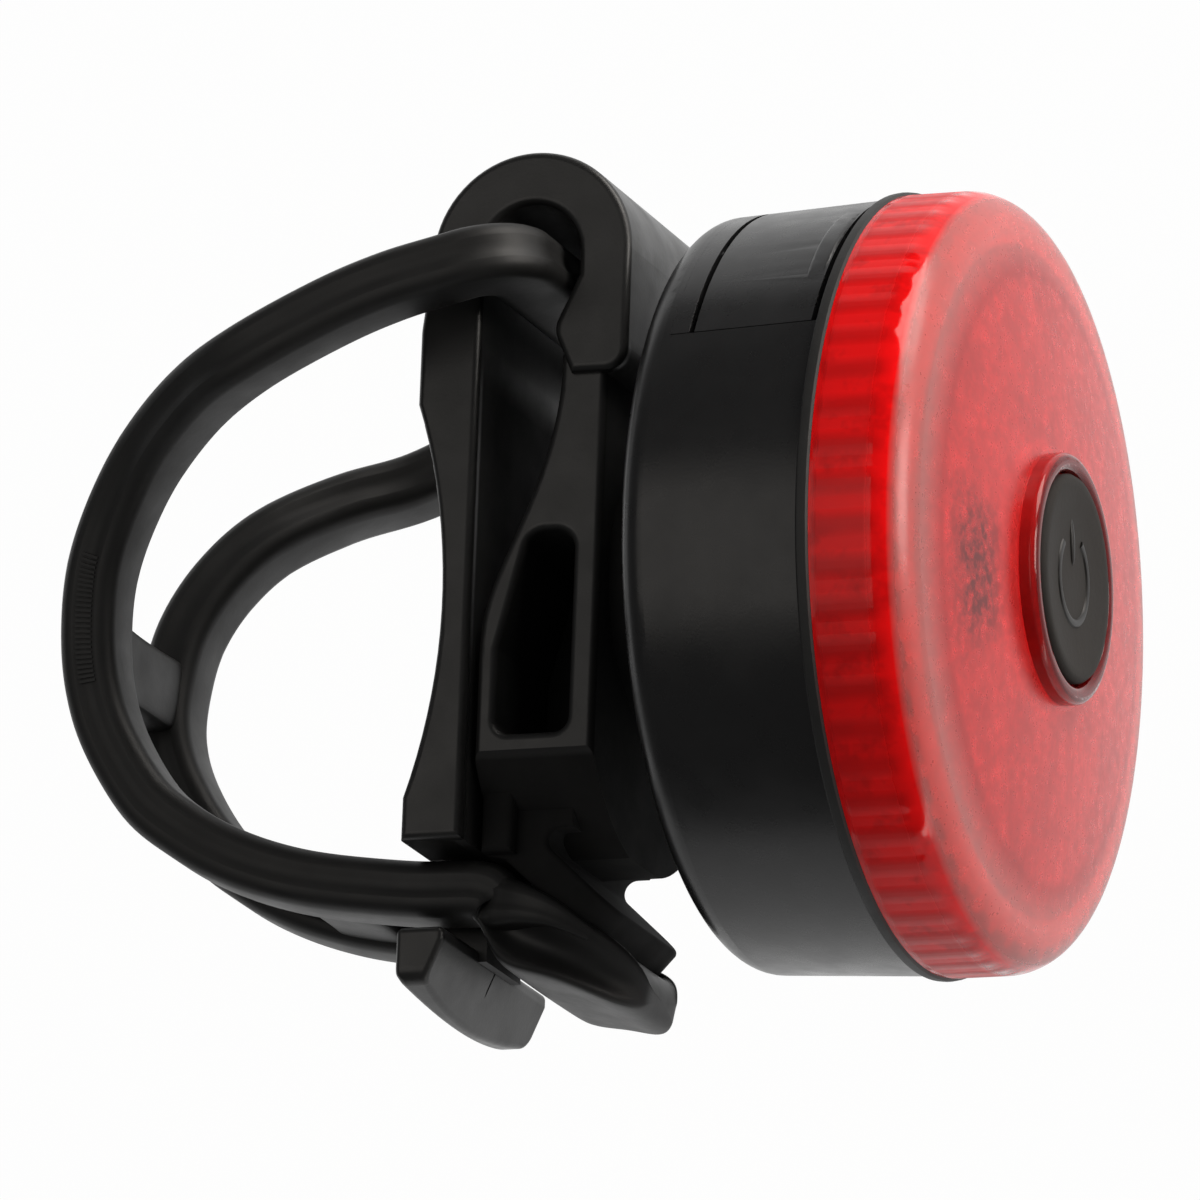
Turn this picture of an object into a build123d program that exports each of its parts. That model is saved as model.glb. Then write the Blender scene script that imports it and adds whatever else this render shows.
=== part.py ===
from build123d import *
import os
from math import cos, radians, sin, sqrt

# A round bike tail light on its clip bracket, with the rubber strap that holds it to an upright post.
# Z runs up the post. The origin is the middle of the saddle that lies against the post.
# Y points out of the saddle to the post, so the lamp shines towards -Y. X runs from the hook to the eyelet.
# All sizes are in millimetres.

# Allowances shared by all pieces
overrun = 1.0
slide_gap = 0.1
soft_gap = 0.3
bond_gap = 0.05

# Housing
housing_diameter = 40.0
housing_taper = 0.5
housing_depth = 9.9
housing_wall = 2.4
housing_back_wall = 1.8
housing_back_round = 1.6
housing_lip_wall = 0.75
housing_lip_rise = 0.8

# Seal in the seam
seal_height = 0.7
seal_proud = 0.15

# Lens
lens_wall = 1.7
lens_side_height = 4.9
lens_edge_round = 2.4
lens_dome_rise = 1.9
lens_rim_thickness = 0.9
flute_count = 48
flute_radius = 0.5
flute_start = 1.2
ring_outer_diameter = 13.0
ring_inner_diameter = 11.0
ring_height = 0.95
ring_round = 0.42

# Power button
button_proud = 0.1
button_wall = 1.0
button_edge_round = 0.35
button_flange_overlap = 1.1
button_flange_thickness = 0.7
button_stem_radius = 1.5
button_travel = 0.4

# Pebbled disc behind the face
inner_lens_edge_gap = 1.25
inner_lens_thickness = 0.9
inner_lens_gap = 0.4

# Circuit board and what it carries
board_edge_gap = 1.6
board_thickness = 1.0
board_seam_gap = 1.8
board_screw_inset = 2.6
board_screw_angle = 110.0
board_screw_radius = 0.8
board_screw_head_radius = 1.6
board_screw_head_height = 0.8
board_screw_length = 4.6
board_post_radius = 1.8
led_count = 6
led_inset = 4.5
led_first_angle = 20.0
led_length = 3.5
led_width = 2.8
led_height = 0.8
led_dome_radius = 1.1
chip_height = 0.9
chip_part_count = 8
chip_part_height = 0.5
charge_led_inset = 1.8
charge_led_angle = 52.0
# The chip's group has a share of the room between the switch and the LEDs, and its sizes are shares of that.
chip_room_share = 16 / 27
chip_along_share = 2 / 7
chip_side_share = 1.0
chip_part_ring_share = 0.775
chip_part_length_share = 0.4
chip_part_width_share = 0.2

# Push switch
switch_side = 6.0
switch_height = 1.8
switch_floor = 0.6
switch_cover_thickness = 0.2
plunger_radius = 1.7
plunger_sink = 0.5
plunger_rise = 1.1
switch_leg_length = 1.0
switch_leg_width = 0.7
switch_leg_thickness = 0.3

# Charging socket and the rubber cover over it
port_angle = 41.0
usb_width = 7.5
usb_height = 2.6
usb_depth = 5.0
usb_metal = 0.3
usb_inset = 0.35
usb_block_depth = 1.2
usb_tongue_width = 4.0
usb_tongue_height = 0.6
usb_tongue_depth = 3.2
port_hole_width = 8.0
port_hole_height = 3.0
cover_half_angle = 20.5
cover_side_angle = 0.9
cover_thickness = 1.1
cover_start = 1.9
cover_root_height = 1.0
cover_plug_width = 7.4
cover_plug_height = 2.4
cover_plug_depth = 1.0
cover_lip_proud = 0.45
cover_lip_height = 1.1
cover_lip_offset = 6.0
cover_front_gap = 0.35
cover_peg_radius = 0.5

# Battery
battery_lead_gap = 4.6
battery_port_gap = 10.6
battery_side_gap = 8.6
battery_board_gap = 1.7
battery_round_share = 0.3
pad_height = 0.6
pad_margin = 1.5
lead_radius = 0.4
lead_spacing = 4.0
lead_bend = 1.0
lead_run = 1.6

# Screws that hold the bracket from inside the housing
bracket_screw_spacing = 8.0
bracket_screw_radius = 0.95
bracket_screw_head_radius = 2.0
bracket_screw_head_height = 1.0
bracket_screw_bite = 3.8
bracket_boss_radius = 7.0

# Clip bracket. Reach is measured back from the lamp's back face, rise from the lamp's axis to the eyelet.
bracket_width = 18.0
bracket_edge_round = 0.4
eyelet_step = 2.6
eyelet_rise = 16.3
eyelet_radius = 5.45
eyelet_strap_room = 1.15
arm_length = 6.5
arm_end_round = 1.2
arm_thickness = 3.05
arm_bump_run = 1.05
arm_bump_height = 2.4
arm_bump_round = 1.2
arm_neck_drop = 1.3
plate_inner_reach = 11.6
plate_waist = 1.6
plate_thickness = 3.3
plate_shoulder_step = 3.8
plate_shoulder_round = 4.0
plate_end_drop = 14.6
saddle_radius = 33.0
saddle_centre_drop = 1.9
lamp_drop = 0.25
block_side_step = 0.6
block_arm_step = 1.25
block_gap = 0.35
block_end_step = 0.2
block_top_step = 3.95
block_knee_step = 2.38
block_knee_rise = 3.1
block_heel_step = 0.35
block_heel_drop = 2.0
block_foot_drop = 5.2
block_front_wall = 1.45
block_back_wall = 1.05
block_foot_height = 5.3
block_end_round = 9.9
window_web = 1.2
window_top_rise = 1.6
window_top_width = 2.4
window_slant_drop = 4.6
window_top_round = 1.05
window_end_round = 0.8
tongue_side_step = 0.9
tongue_thickness = 1.65
tongue_end_step = 0.3
lip_root_step = 2.6
lip_root_rise = 0.87
lip_run = 4.7
lip_fall = 4.37
lip_thickness = 1.9
lip_web_run = 2.4
lip_web_round = 0.7
lip_corner_round = 2.2
lip_edge_round = 0.3
neck_width = 5.1
neck_thickness = 2.6
neck_length = 4.3
hook_overhang = 1.1
hook_back_step = 0.45
hook_depth = 2.6
hook_tip_lean = 1.3
hook_shoulder_step = 0.7
hook_face_height = 3.0
hook_heel_rise = 1.3
hook_side_round = 0.9
hook_arch_height = 0.9
hook_edge_round = 0.35
crease_width = 0.16
crease_depth = 0.14

# Rubber strap
strap_width = 3.8
strap_thickness = 3.0
strap_round = 0.9
loop_bend_radius = 2.6
loop_side_gap = 1.9
loop_sag = 1.0
rail_neck_gap = 0.35
strap_reach = 33.3
strap_hook_gap = 2.6
rail_tab_overlap = 0.1115
bridge_thickness = 2.2
bridge_length = 4.0
first_bridge_share = 0.525
second_bridge_share = 0.85
tab_side_step = 0.2
tab_tip_width = 8.4
tab_tip_overhang = 0.8
tab_tip_step = 2.23
tab_shoulder_run = 4.4
tab_root_rise = 0.5
tab_root_thickness = 2.5
tab_tip_round = 3.4
trough_lip_proud = 0.7
trough_margin = 0.6

# The rails' route after the loop: reach, height and spread, each a share of the strap's own size.
# Reach is a share of strap_reach. Height is a share of strap_drop, below the axis where it is negative.
# Spread is a share of the way from rail_spread to loop_spread.
rail_route_shares = [
    (0.448, 0.845, 1.02),
    (0.552, 0.768, 1.02),
    (0.685, 0.645, 0.98),
    (0.792, 0.550, 0.76),
    (0.886, 0.418, 0.50),
    (0.948, 0.262, 0.33),
    (0.989, 0.085, 0.21),
    (1.004, -0.100, 0.12),
    (1.001, -0.284, 0.04),
    (0.973, -0.462, 0.01),
    (0.910, -0.664, 0.0),
    (0.838, -0.782, 0.0),
    (0.768, -0.864, 0.0),
    (0.685, -0.928, 0.0),
    (0.594, -0.972, 0.0),
    (0.455, -1.010, 0.0),
]
rail_end_drop_share = 1.022
rail_section_count = 22

# The tab's side outline: share of the way from root to tip, then share of the drop from root to tip.
tab_top_shares = [(0.0, 0.0), (0.455, 0.183), (0.674, 0.338), (0.831, 0.521), (0.944, 0.718), (1.0, 0.887)]
tab_under_shares = [
    (0.978, 1.0),
    (0.865, 1.04),
    (0.691, 0.944),
    (0.472, 0.845),
    (0.27, 0.817),
    (0.146, 0.746),
    (0.067, 0.592),
]

# Places worked out from the sizes above
saddle_to_lamp = plate_inner_reach + plate_waist
housing_radius = housing_diameter / 2
housing_inner_radius = housing_radius - housing_wall
lip_radius = housing_inner_radius + housing_lip_wall
lens_inner_radius = lip_radius + slide_gap
lens_radius = lens_inner_radius + lens_wall
lens_base = housing_depth + seal_height
lens_rim = lens_base + lens_side_height
lens_ceiling = lens_rim - lens_rim_thickness
lens_top = lens_rim + lens_dome_rise
dome_radius = (lens_radius**2 + lens_dome_rise**2) / (2 * lens_dome_rise)
ring_radius = ring_outer_diameter / 2
button_hole_radius = ring_inner_diameter / 2
button_radius = button_hole_radius - slide_gap
flange_radius = button_hole_radius + button_flange_overlap


def dome_height(radius):
    """Height of the lens face at a distance from the axis."""
    return lens_top - dome_radius + sqrt(dome_radius**2 - radius**2)


ring_top = dome_height(ring_radius) + ring_height
button_face = ring_top + button_proud
flange_top = lens_ceiling - soft_gap
flange_base = flange_top - button_flange_thickness
inner_lens_radius = lens_inner_radius - inner_lens_edge_gap
board_height = housing_depth - board_seam_gap
board_front = board_height + board_thickness
board_radius = housing_inner_radius - board_edge_gap
board_screw_circle = board_radius - board_screw_inset
led_circle = board_radius - led_inset
charge_led_circle = board_radius - charge_led_inset
chip_room = (led_circle - led_length / 2 - switch_side / 2) * chip_room_share
chip_across = -switch_side / 2 - chip_room
chip_along = -chip_across * chip_along_share
chip_side = chip_room * chip_side_share
chip_part_circle = chip_room * chip_part_ring_share
chip_part_length = chip_room * chip_part_length_share
chip_part_width = chip_room * chip_part_width_share
switch_top = board_front + switch_height + switch_cover_thickness
plunger_top = switch_top + plunger_rise
port_height = board_height - usb_height / 2
cover_floor = housing_radius - cover_thickness - soft_gap
hinge_height = cover_start + cover_root_height + soft_gap
hinge_radius = housing_radius - housing_taper * (1 - hinge_height / housing_depth)
battery_base = housing_back_wall + pad_height
battery_height = board_height - battery_board_gap - battery_base
battery_edge_round = battery_height * battery_round_share
battery_length = 2 * housing_inner_radius - battery_lead_gap - battery_port_gap
battery_width = 2 * (housing_inner_radius - battery_side_gap)
battery_shift = (battery_lead_gap - battery_port_gap) / 2
half_bracket = bracket_width / 2
eyelet_reach = plate_inner_reach - eyelet_step
eyelet_hole_radius = strap_thickness / 2 + eyelet_strap_room
arm_reach = eyelet_reach - eyelet_radius
arm_foot_reach = arm_reach + arm_thickness
arm_bump_reach = arm_foot_reach + arm_bump_run
arm_end_rise = eyelet_rise - arm_length
arm_bump_rise = arm_end_rise + arm_bump_height
plate_outer_reach = plate_inner_reach + plate_thickness
plate_shoulder_rise = eyelet_rise - plate_shoulder_step
block_width = bracket_width - 2 * block_side_step
block_reach = arm_reach + block_arm_step
block_foot_reach = plate_inner_reach - block_gap
block_top_reach = block_foot_reach - block_top_step
block_knee_reach = block_foot_reach - block_knee_step
block_heel_reach = block_foot_reach - block_heel_step
block_end_drop = plate_end_drop - block_end_step
window_front_reach = block_reach + block_front_wall
window_back_reach = block_foot_reach - block_back_wall
window_end_drop = block_end_drop - block_foot_height
rail_spread = neck_width / 2 + rail_neck_gap + strap_width / 2
loop_spread = half_bracket + loop_side_gap + strap_width / 2
tab_width = 2 * (rail_spread + strap_width / 2 + tab_side_step)
lip_width = tab_width - 2 * (trough_margin + soft_gap)
tongue_width = lip_width + 2 * tongue_side_step
tongue_end_drop = plate_end_drop + tongue_end_step
lip_root_reach = plate_inner_reach - lip_root_step
lip_tip_reach = lip_root_reach - lip_run
lip_root_drop = block_end_drop - lip_root_rise
lip_tip_drop = lip_root_drop + lip_fall
hook_width = 2 * (rail_spread + strap_width / 2 + hook_overhang)
hook_back_reach = plate_outer_reach + hook_back_step
hook_front_reach = hook_back_reach - hook_depth
hook_tip_reach = hook_front_reach + hook_tip_lean
hook_top_drop = plate_end_drop + neck_length
hook_shoulder_drop = hook_top_drop + hook_shoulder_step
hook_end_drop = hook_shoulder_drop + hook_face_height
hook_heel_drop = hook_end_drop - hook_heel_rise
strap_drop = hook_top_drop - strap_hook_gap
tab_root_reach = plate_inner_reach
tab_root_drop = strap_drop - tab_root_rise
tab_root_end_drop = tab_root_drop + tab_root_thickness
tab_shoulder_reach = tab_root_reach - tab_shoulder_run
tab_tip_reach = lip_tip_reach - tab_tip_overhang
tab_tip_drop = tab_root_drop + lip_fall + tab_tip_step
trough_depth = lip_thickness - trough_lip_proud

# The lamp's own frame: x towards the eyelet, y up the post, z out through the lens, from the housing's back.
lamp = Plane(origin=(saddle_centre_drop - lamp_drop, -saddle_to_lamp, 0), x_dir=(1, 0, 0), z_dir=(0, -1, 0))
# The side view: x out through the lens, y towards the eyelet, z up the post.
side = Plane(origin=(saddle_centre_drop, -saddle_to_lamp, 0), x_dir=(0, -1, 0), z_dir=(0, 0, 1))

nodes = {}


def disc(radius, low, high):
    """A round disc on the lamp's axis."""
    standing = (Align.CENTER, Align.CENTER, Align.MIN)
    return Pos(0, 0, low) * Cylinder(radius, high - low, align=standing)


def ring(outer, inner, low, high):
    """A round ring on the lamp's axis."""
    return disc(outer, low, high) - disc(inner, low - overrun, high + overrun)


def slab(length, width, low, high):
    """A square-edged block standing on a height, centred on the axis."""
    return Pos(0, 0, low) * Box(length, width, high - low, align=(Align.CENTER, Align.CENTER, Align.MIN))


def polar(radius, angle):
    """A place at a distance and an angle round the axis, turned to face outwards."""
    return Rot(0, 0, angle) * Pos(radius, 0, 0)


def turned(outline):
    """A solid turned about the lamp's axis from a face drawn as radius and height."""
    return revolve(Plane.XZ * outline, Axis.Z)


def wall_piece(outer, inner, low, high, half_angle):
    """A stretch of a round wall, centred on the charging port."""
    outline = make_face(Polyline((inner, low), (outer, low), (outer, high), (inner, high), close=True))
    piece = revolve(Plane.XZ * outline, Axis.Z, revolution_arc=2 * half_angle)
    return Rot(0, 0, port_angle - half_angle) * piece


def side_piece(points, width):
    """A plate cut to a side outline, as thick as a width along the post."""
    return extrude(make_face(Polyline(*points, close=True)), width / 2, both=True)


def end_edges(body):
    """The edges round a plate's two ends."""
    levels = body.edges().group_by(Axis.Z)
    return levels[0] + levels[-1]


def rounded(face, picks, radius):
    """A face with the corners nearest to some points rounded."""
    corners = [face.vertices().sort_by_distance(Vertex(*pick))[0] for pick in picks]
    return fillet(corners, radius)


def housing_form():
    """The housing's outside as a plain solid, tapered to the back and rounded at its back edge."""
    back_radius = housing_radius - housing_taper
    outline = make_face(
        Polyline((0, 0), (back_radius, 0), (housing_radius, housing_depth), (0, housing_depth), close=True)
    )
    return turned(rounded(outline, [(back_radius, 0, 0)], housing_back_round))


def board_screw_places():
    """The two screws across the board."""
    return [polar(board_screw_circle, board_screw_angle + turn) for turn in (0, 180)]


def bracket_screw_places():
    """The two screws through the housing's back."""
    return [Pos(way * bracket_screw_spacing / 2, 0, 0) for way in (-1, 1)]


def make_housing():
    """Cup with a rebate lip, two board posts, the port's recess and opening and the screw holes."""
    body = housing_form() - disc(housing_inner_radius, housing_back_wall, housing_depth + overrun)
    body += ring(lip_radius, housing_inner_radius, housing_depth, lens_base + housing_lip_rise)
    post_hole = board_screw_radius + bond_gap
    for place in board_screw_places():
        body += place * disc(board_post_radius, housing_back_wall, board_height)
    for place in board_screw_places():
        body -= place * disc(post_hole, board_front - board_screw_length - soft_gap, board_height + overrun)
    for place in bracket_screw_places():
        body -= place * disc(bracket_screw_radius + slide_gap, -overrun, housing_back_wall + overrun)
        body -= place * countersink(slide_gap)
    recess_depth = housing_radius + overrun
    recess_angle = cover_half_angle + cover_side_angle
    body -= wall_piece(recess_depth, cover_floor, cover_start, housing_depth, recess_angle)
    opening = polar(housing_inner_radius, port_angle) * Box(
        2 * housing_wall + 2 * overrun, port_hole_width, port_hole_height
    )
    body -= Pos(0, 0, port_height) * opening
    body -= cover_peg(cover_peg_radius + bond_gap, 2 * overrun)
    return body


def countersink(allowance):
    """The seat of a flat screw head, flush with the housing's inner back face."""
    low = housing_back_wall - bracket_screw_head_height
    cone = Cone(
        bracket_screw_radius + allowance,
        bracket_screw_head_radius + allowance,
        bracket_screw_head_height,
        align=(Align.CENTER, Align.CENTER, Align.MIN),
    )
    return Pos(0, 0, low) * cone


def make_bracket_screws():
    """Two flat-head screws, heads inside the housing."""
    shank = disc(bracket_screw_radius, -bracket_screw_bite, housing_back_wall)
    screw = shank + countersink(0)
    slot = Box(bracket_screw_head_radius, bracket_screw_radius / 2, bracket_screw_head_height / 2)
    screw -= Pos(0, 0, housing_back_wall) * slot
    return [place * screw for place in bracket_screw_places()]


def make_seal():
    """Rubber ring in the seam, a little proud of the lens."""
    outer = lens_radius + seal_proud
    body = ring(outer, lip_radius + slide_gap, housing_depth, lens_base)
    rims = body.edges().filter_by(GeomType.CIRCLE).group_by(SortBy.RADIUS)[-1]
    return fillet(rims, seal_height / 4)


def make_lens():
    """Red cup with a fluted wall, a domed face and the ring round the button."""
    half = lens_radius / 2
    outline = make_face(
        Curve()
        + [
            Line((0, lens_base), (lens_radius, lens_base)),
            Line((lens_radius, lens_base), (lens_radius, lens_rim)),
            ThreePointArc((lens_radius, lens_rim), (half, dome_height(half)), (0, lens_top)),
            Line((0, lens_top), (0, lens_base)),
        ]
    )
    body = turned(rounded(outline, [(lens_radius, lens_rim, 0)], lens_edge_round))
    collar = disc(ring_radius, lens_ceiling, ring_top)
    collar = fillet(collar.edges().filter_by(GeomType.CIRCLE).group_by(Axis.Z)[-1], ring_round)
    body += collar
    body -= disc(lens_inner_radius, lens_base - overrun, lens_ceiling)
    body -= disc(button_hole_radius, lens_ceiling - overrun, ring_top + overrun)
    inner_rim = body.edges().filter_by(GeomType.CIRCLE).group_by(Axis.Z)[-1].sort_by(SortBy.RADIUS)[0]
    body = fillet(inner_rim, ring_round)
    rounds = Sketch() + PolarLocations(lens_inner_radius, flute_count) * Circle(flute_radius)
    grooves = extrude(rounds, lens_ceiling - lens_base - flute_start)
    return body - Pos(0, 0, lens_base + flute_start) * grooves


def make_button():
    """Rubber cap with a flange that stays under the lens and a stem down to the switch."""
    body = disc(button_radius, flange_base, button_face)
    body = fillet(body.edges().filter_by(GeomType.CIRCLE).group_by(Axis.Z)[-1], button_edge_round)
    body += disc(flange_radius, flange_base, flange_top)
    body -= disc(button_radius - button_wall, flange_base - overrun, button_face - button_wall)
    body += disc(button_stem_radius, plunger_top, button_face - button_wall)
    return body


def make_inner_lens():
    """Flat disc bonded under the lens face, with room for the button."""
    hole = flange_radius + inner_lens_gap
    return ring(inner_lens_radius, hole, lens_ceiling - inner_lens_thickness, lens_ceiling)


def make_board():
    """Round circuit board with two screw holes and a notch for the battery leads."""
    body = disc(board_radius, board_height, board_front)
    for place in board_screw_places():
        body -= place * disc(board_screw_radius + slide_gap, board_height - overrun, board_front + overrun)
    return body


def make_board_screws():
    """Two pan-head screws into the housing's posts."""
    shank = disc(board_screw_radius, board_front - board_screw_length, board_front)
    head = disc(board_screw_head_radius, board_front, board_front + board_screw_head_height)
    head = fillet(head.edges().group_by(Axis.Z)[-1], board_screw_head_height / 2)
    slot = Box(2 * board_screw_radius, board_screw_radius / 2, board_screw_head_height)
    screw = shank + head - Pos(0, 0, board_front + board_screw_head_height) * slot
    return [place * screw for place in board_screw_places()]


def make_leds():
    """A ring of LEDs on the front of the board, each a square case with a low dome."""
    case = slab(led_length, led_width, board_front, board_front + led_height)
    dome = disc(led_dome_radius, board_front + led_height, board_front + led_height + led_height / 3)
    dome = fillet(dome.edges().group_by(Axis.Z)[-1], led_height / 4)
    lamp_chip = case + dome
    step = 360 / led_count
    return [polar(led_circle, led_first_angle + step * number) * lamp_chip for number in range(led_count)]


def make_chip_parts():
    """Small resistors and capacitors round the controller chip."""
    part = slab(chip_part_length, chip_part_width, board_front, board_front + chip_part_height)
    step = 360 / chip_part_count
    around = Pos(chip_along, chip_across, 0)
    places = [polar(chip_part_circle, step * (number + 0.5)) for number in range(chip_part_count)]
    return [around * place * Rot(0, 0, 90) * part for place in places]


def make_switch():
    """Push switch on the board: case, metal cover, plunger and four legs."""
    case_top = board_front + switch_height
    well = plunger_radius + slide_gap
    case = slab(switch_side, switch_side, board_front, case_top)
    case -= disc(well, board_front + switch_floor, case_top + overrun)
    cover = slab(switch_side, switch_side, case_top, switch_top)
    cover -= disc(well, board_front, switch_top + overrun)
    plunger = disc(plunger_radius, board_front + switch_floor + plunger_sink, plunger_top)
    leg = slab(switch_leg_length, switch_leg_width, board_front, board_front + switch_leg_thickness)
    out = (switch_side + switch_leg_length) / 2
    apart = switch_side / 3
    legs = [Pos(way * out, row * apart, 0) * leg for way in (-1, 1) for row in (-1, 1)]
    return case, cover, plunger, legs


def port_place(radius):
    """A place on the charging port's line, at the socket's height."""
    return Pos(0, 0, port_height) * polar(radius, port_angle)


def make_usb():
    """Charging socket: a folded metal shell and the plastic tongue inside it."""
    mouth = housing_inner_radius - usb_inset
    middle = mouth - usb_depth / 2
    shell = port_place(middle) * Box(usb_depth, usb_width, usb_height)
    hollow_width = usb_width - 2 * usb_metal
    hollow_height = usb_height - 2 * usb_metal
    shell -= port_place(middle) * Box(usb_depth + 2 * overrun, hollow_width, hollow_height)
    back = mouth - usb_depth
    insert = port_place(back + usb_block_depth / 2) * Box(
        usb_block_depth, hollow_width - bond_gap, hollow_height - bond_gap
    )
    tongue_middle = back + usb_block_depth + usb_tongue_depth / 2
    insert += port_place(tongue_middle) * Box(usb_tongue_depth, usb_tongue_width, usb_tongue_height)
    return shell, insert


def cover_peg(radius, extra):
    """The peg that holds the cover's root in the housing wall."""
    length = housing_radius - cover_thickness / 2 - housing_inner_radius + extra
    middle = housing_inner_radius + length / 2 - extra / 2
    height = cover_start + cover_root_height / 2 + bond_gap
    peg = Rot(0, 90, 0) * Cylinder(radius, length)
    return Pos(0, 0, height) * polar(middle, port_angle) * peg


def make_cover_root():
    """The strip of the cover's moulding that stays in the housing, with its peg."""
    strip = wall_piece(
        housing_radius, cover_floor + bond_gap, cover_start, cover_start + cover_root_height, cover_half_angle
    )
    return (strip & housing_form()) + cover_peg(cover_peg_radius, 0)


def make_port_cover():
    """The swinging flap: a piece of the housing's wall with a plug behind it and a pull lip at the seam."""
    front = housing_depth - cover_front_gap
    flap = wall_piece(
        housing_radius, cover_floor + soft_gap, hinge_height, front, cover_half_angle
    ) & housing_form()
    lip_out = hinge_radius + cover_lip_proud
    lip = Rot(0, 0, port_angle) * Pos(cover_lip_offset, 0, 0) * disc(
        lip_out - cover_lip_offset, front - cover_lip_height, front
    )
    lip = fillet(lip.edges().filter_by(GeomType.CIRCLE), cover_lip_proud / 2)
    flap += lip & wall_piece(
        lip_out + overrun, cover_floor + soft_gap, front - cover_lip_height, front, cover_half_angle
    )
    plug_out = cover_floor + soft_gap
    plug = port_place(plug_out - cover_plug_depth / 2 + bond_gap) * Box(
        cover_plug_depth, cover_plug_width, cover_plug_height
    )
    return flap + plug


def make_battery():
    """Flat cell on a foam pad, with two leads up to the board."""
    cell = Pos(battery_shift, 0, 0) * slab(
        battery_length, battery_width, battery_base, battery_base + battery_height
    )
    cell = fillet(cell.edges().filter_by(Axis.X), battery_edge_round)
    pad = Pos(battery_shift, 0, 0) * slab(
        battery_length - 2 * pad_margin, battery_width - 2 * pad_margin, housing_back_wall, battery_base
    )
    return cell, pad


def make_lead(way):
    """One battery lead, out of the cell's end and up to the back of the board."""
    end = battery_shift - battery_length / 2
    height = battery_base + battery_height / 2
    across = way * lead_spacing / 2
    path = FilletPolyline(
        (end, across, height), (end - lead_run, across, height), (end - lead_run, across, board_height),
        radius=lead_bend,
    )
    return sweep(Plane(origin=path @ 0, z_dir=path % 0) * Circle(lead_radius), path=path)


def eyelet_and_plate():
    """Eyelet, arm and saddle plate: one side outline across the full width."""
    eye = Pos(-eyelet_reach, eyelet_rise)
    eye_back = eyelet_reach + eyelet_radius
    plate = make_face(
        Polyline(
            (-plate_inner_reach, -plate_end_drop),
            (-plate_inner_reach, eyelet_rise),
            (-eye_back, eyelet_rise),
            (-plate_outer_reach, plate_shoulder_rise),
            (-plate_outer_reach, -plate_end_drop),
            close=True,
        )
    )
    plate = rounded(plate, [(-plate_outer_reach, plate_shoulder_rise, 0)], plate_shoulder_round)
    neck_rise = eyelet_rise - arm_neck_drop
    hole_front = eyelet_reach - eyelet_hole_radius
    arm = make_face(
        Polyline(
            (-arm_reach, eyelet_rise),
            (-arm_reach, arm_end_rise),
            (-arm_foot_reach, arm_end_rise),
            (-arm_bump_reach, arm_bump_rise),
            (-hole_front, neck_rise),
            (-hole_front, eyelet_rise),
            close=True,
        )
    )
    arm = rounded(arm, [(-arm_reach, arm_end_rise, 0)], arm_end_round)
    arm = rounded(arm, [(-arm_bump_reach, arm_bump_rise, 0)], arm_bump_round)
    below = make_face(
        Polyline(
            (-plate_inner_reach, eyelet_rise),
            (-hole_front, eyelet_rise),
            (-hole_front, eyelet_rise - eyelet_radius - overrun),
            (-plate_inner_reach, eyelet_rise - eyelet_radius - overrun),
            close=True,
        )
    )
    face = eye * Circle(eyelet_radius) - below + plate + arm - eye * Circle(eyelet_hole_radius)
    saddle = Pos(-saddle_to_lamp - saddle_radius, -saddle_centre_drop) * Circle(saddle_radius)
    body = extrude(face - saddle, half_bracket, both=True)
    return fillet(end_edges(body), bracket_edge_round)


def gusset_block():
    """The block under the arm with its window, its lower end rounded about the lamp's axis."""
    top = arm_end_rise + arm_end_round
    back_edge = Spline(
        (-block_top_reach, arm_end_rise),
        (-block_knee_reach, block_knee_rise),
        (-block_heel_reach, -block_heel_drop),
        (-block_foot_reach, -block_foot_drop),
        tangents=((-block_gap, -block_foot_drop), (0, -1)),
    )
    outline = make_face(
        Curve()
        + [
            back_edge,
            Polyline(
                (-block_foot_reach, -block_foot_drop),
                (-block_foot_reach, -block_end_drop),
                (-block_reach, -block_end_drop),
                (-block_reach, top),
                (-block_top_reach, top),
                (-block_top_reach, arm_end_rise),
            ),
        ]
    )
    window = make_face(
        Polyline(
            (-window_front_reach, window_top_rise),
            (-window_front_reach - window_top_width, window_top_rise),
            (-window_back_reach, -window_slant_drop),
            (-window_back_reach, -window_end_drop),
            (-window_front_reach, -window_end_drop),
            close=True,
        )
    )
    top_corners = [
        (-window_front_reach, window_top_rise, 0),
        (-window_front_reach - window_top_width, window_top_rise, 0),
    ]
    end_corners = [(-window_back_reach, -window_end_drop, 0), (-window_front_reach, -window_end_drop, 0)]
    window = rounded(window, top_corners, window_top_round)
    window = rounded(window, end_corners, window_end_round)
    body = extrude(outline - window, block_width / 2, both=True)
    body = fillet(end_edges(body), bracket_edge_round)
    return body + extrude(window, window_web / 2, both=True)


def block_end_cut():
    """What the block loses outside its arched lower end, in the lamp's frame."""
    size = 2 * block_end_drop
    depth = plate_inner_reach + overrun
    arch = Pos(block_end_round - block_end_drop, 0, 0) * disc(block_end_round, -depth - overrun, overrun)
    middle = block_end_drop - block_end_round
    below = Pos(-middle - size / 2, 0, -depth) * Box(
        size, 2 * size, depth, align=(Align.CENTER, Align.CENTER, Align.MIN)
    )
    return below - arch


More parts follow.
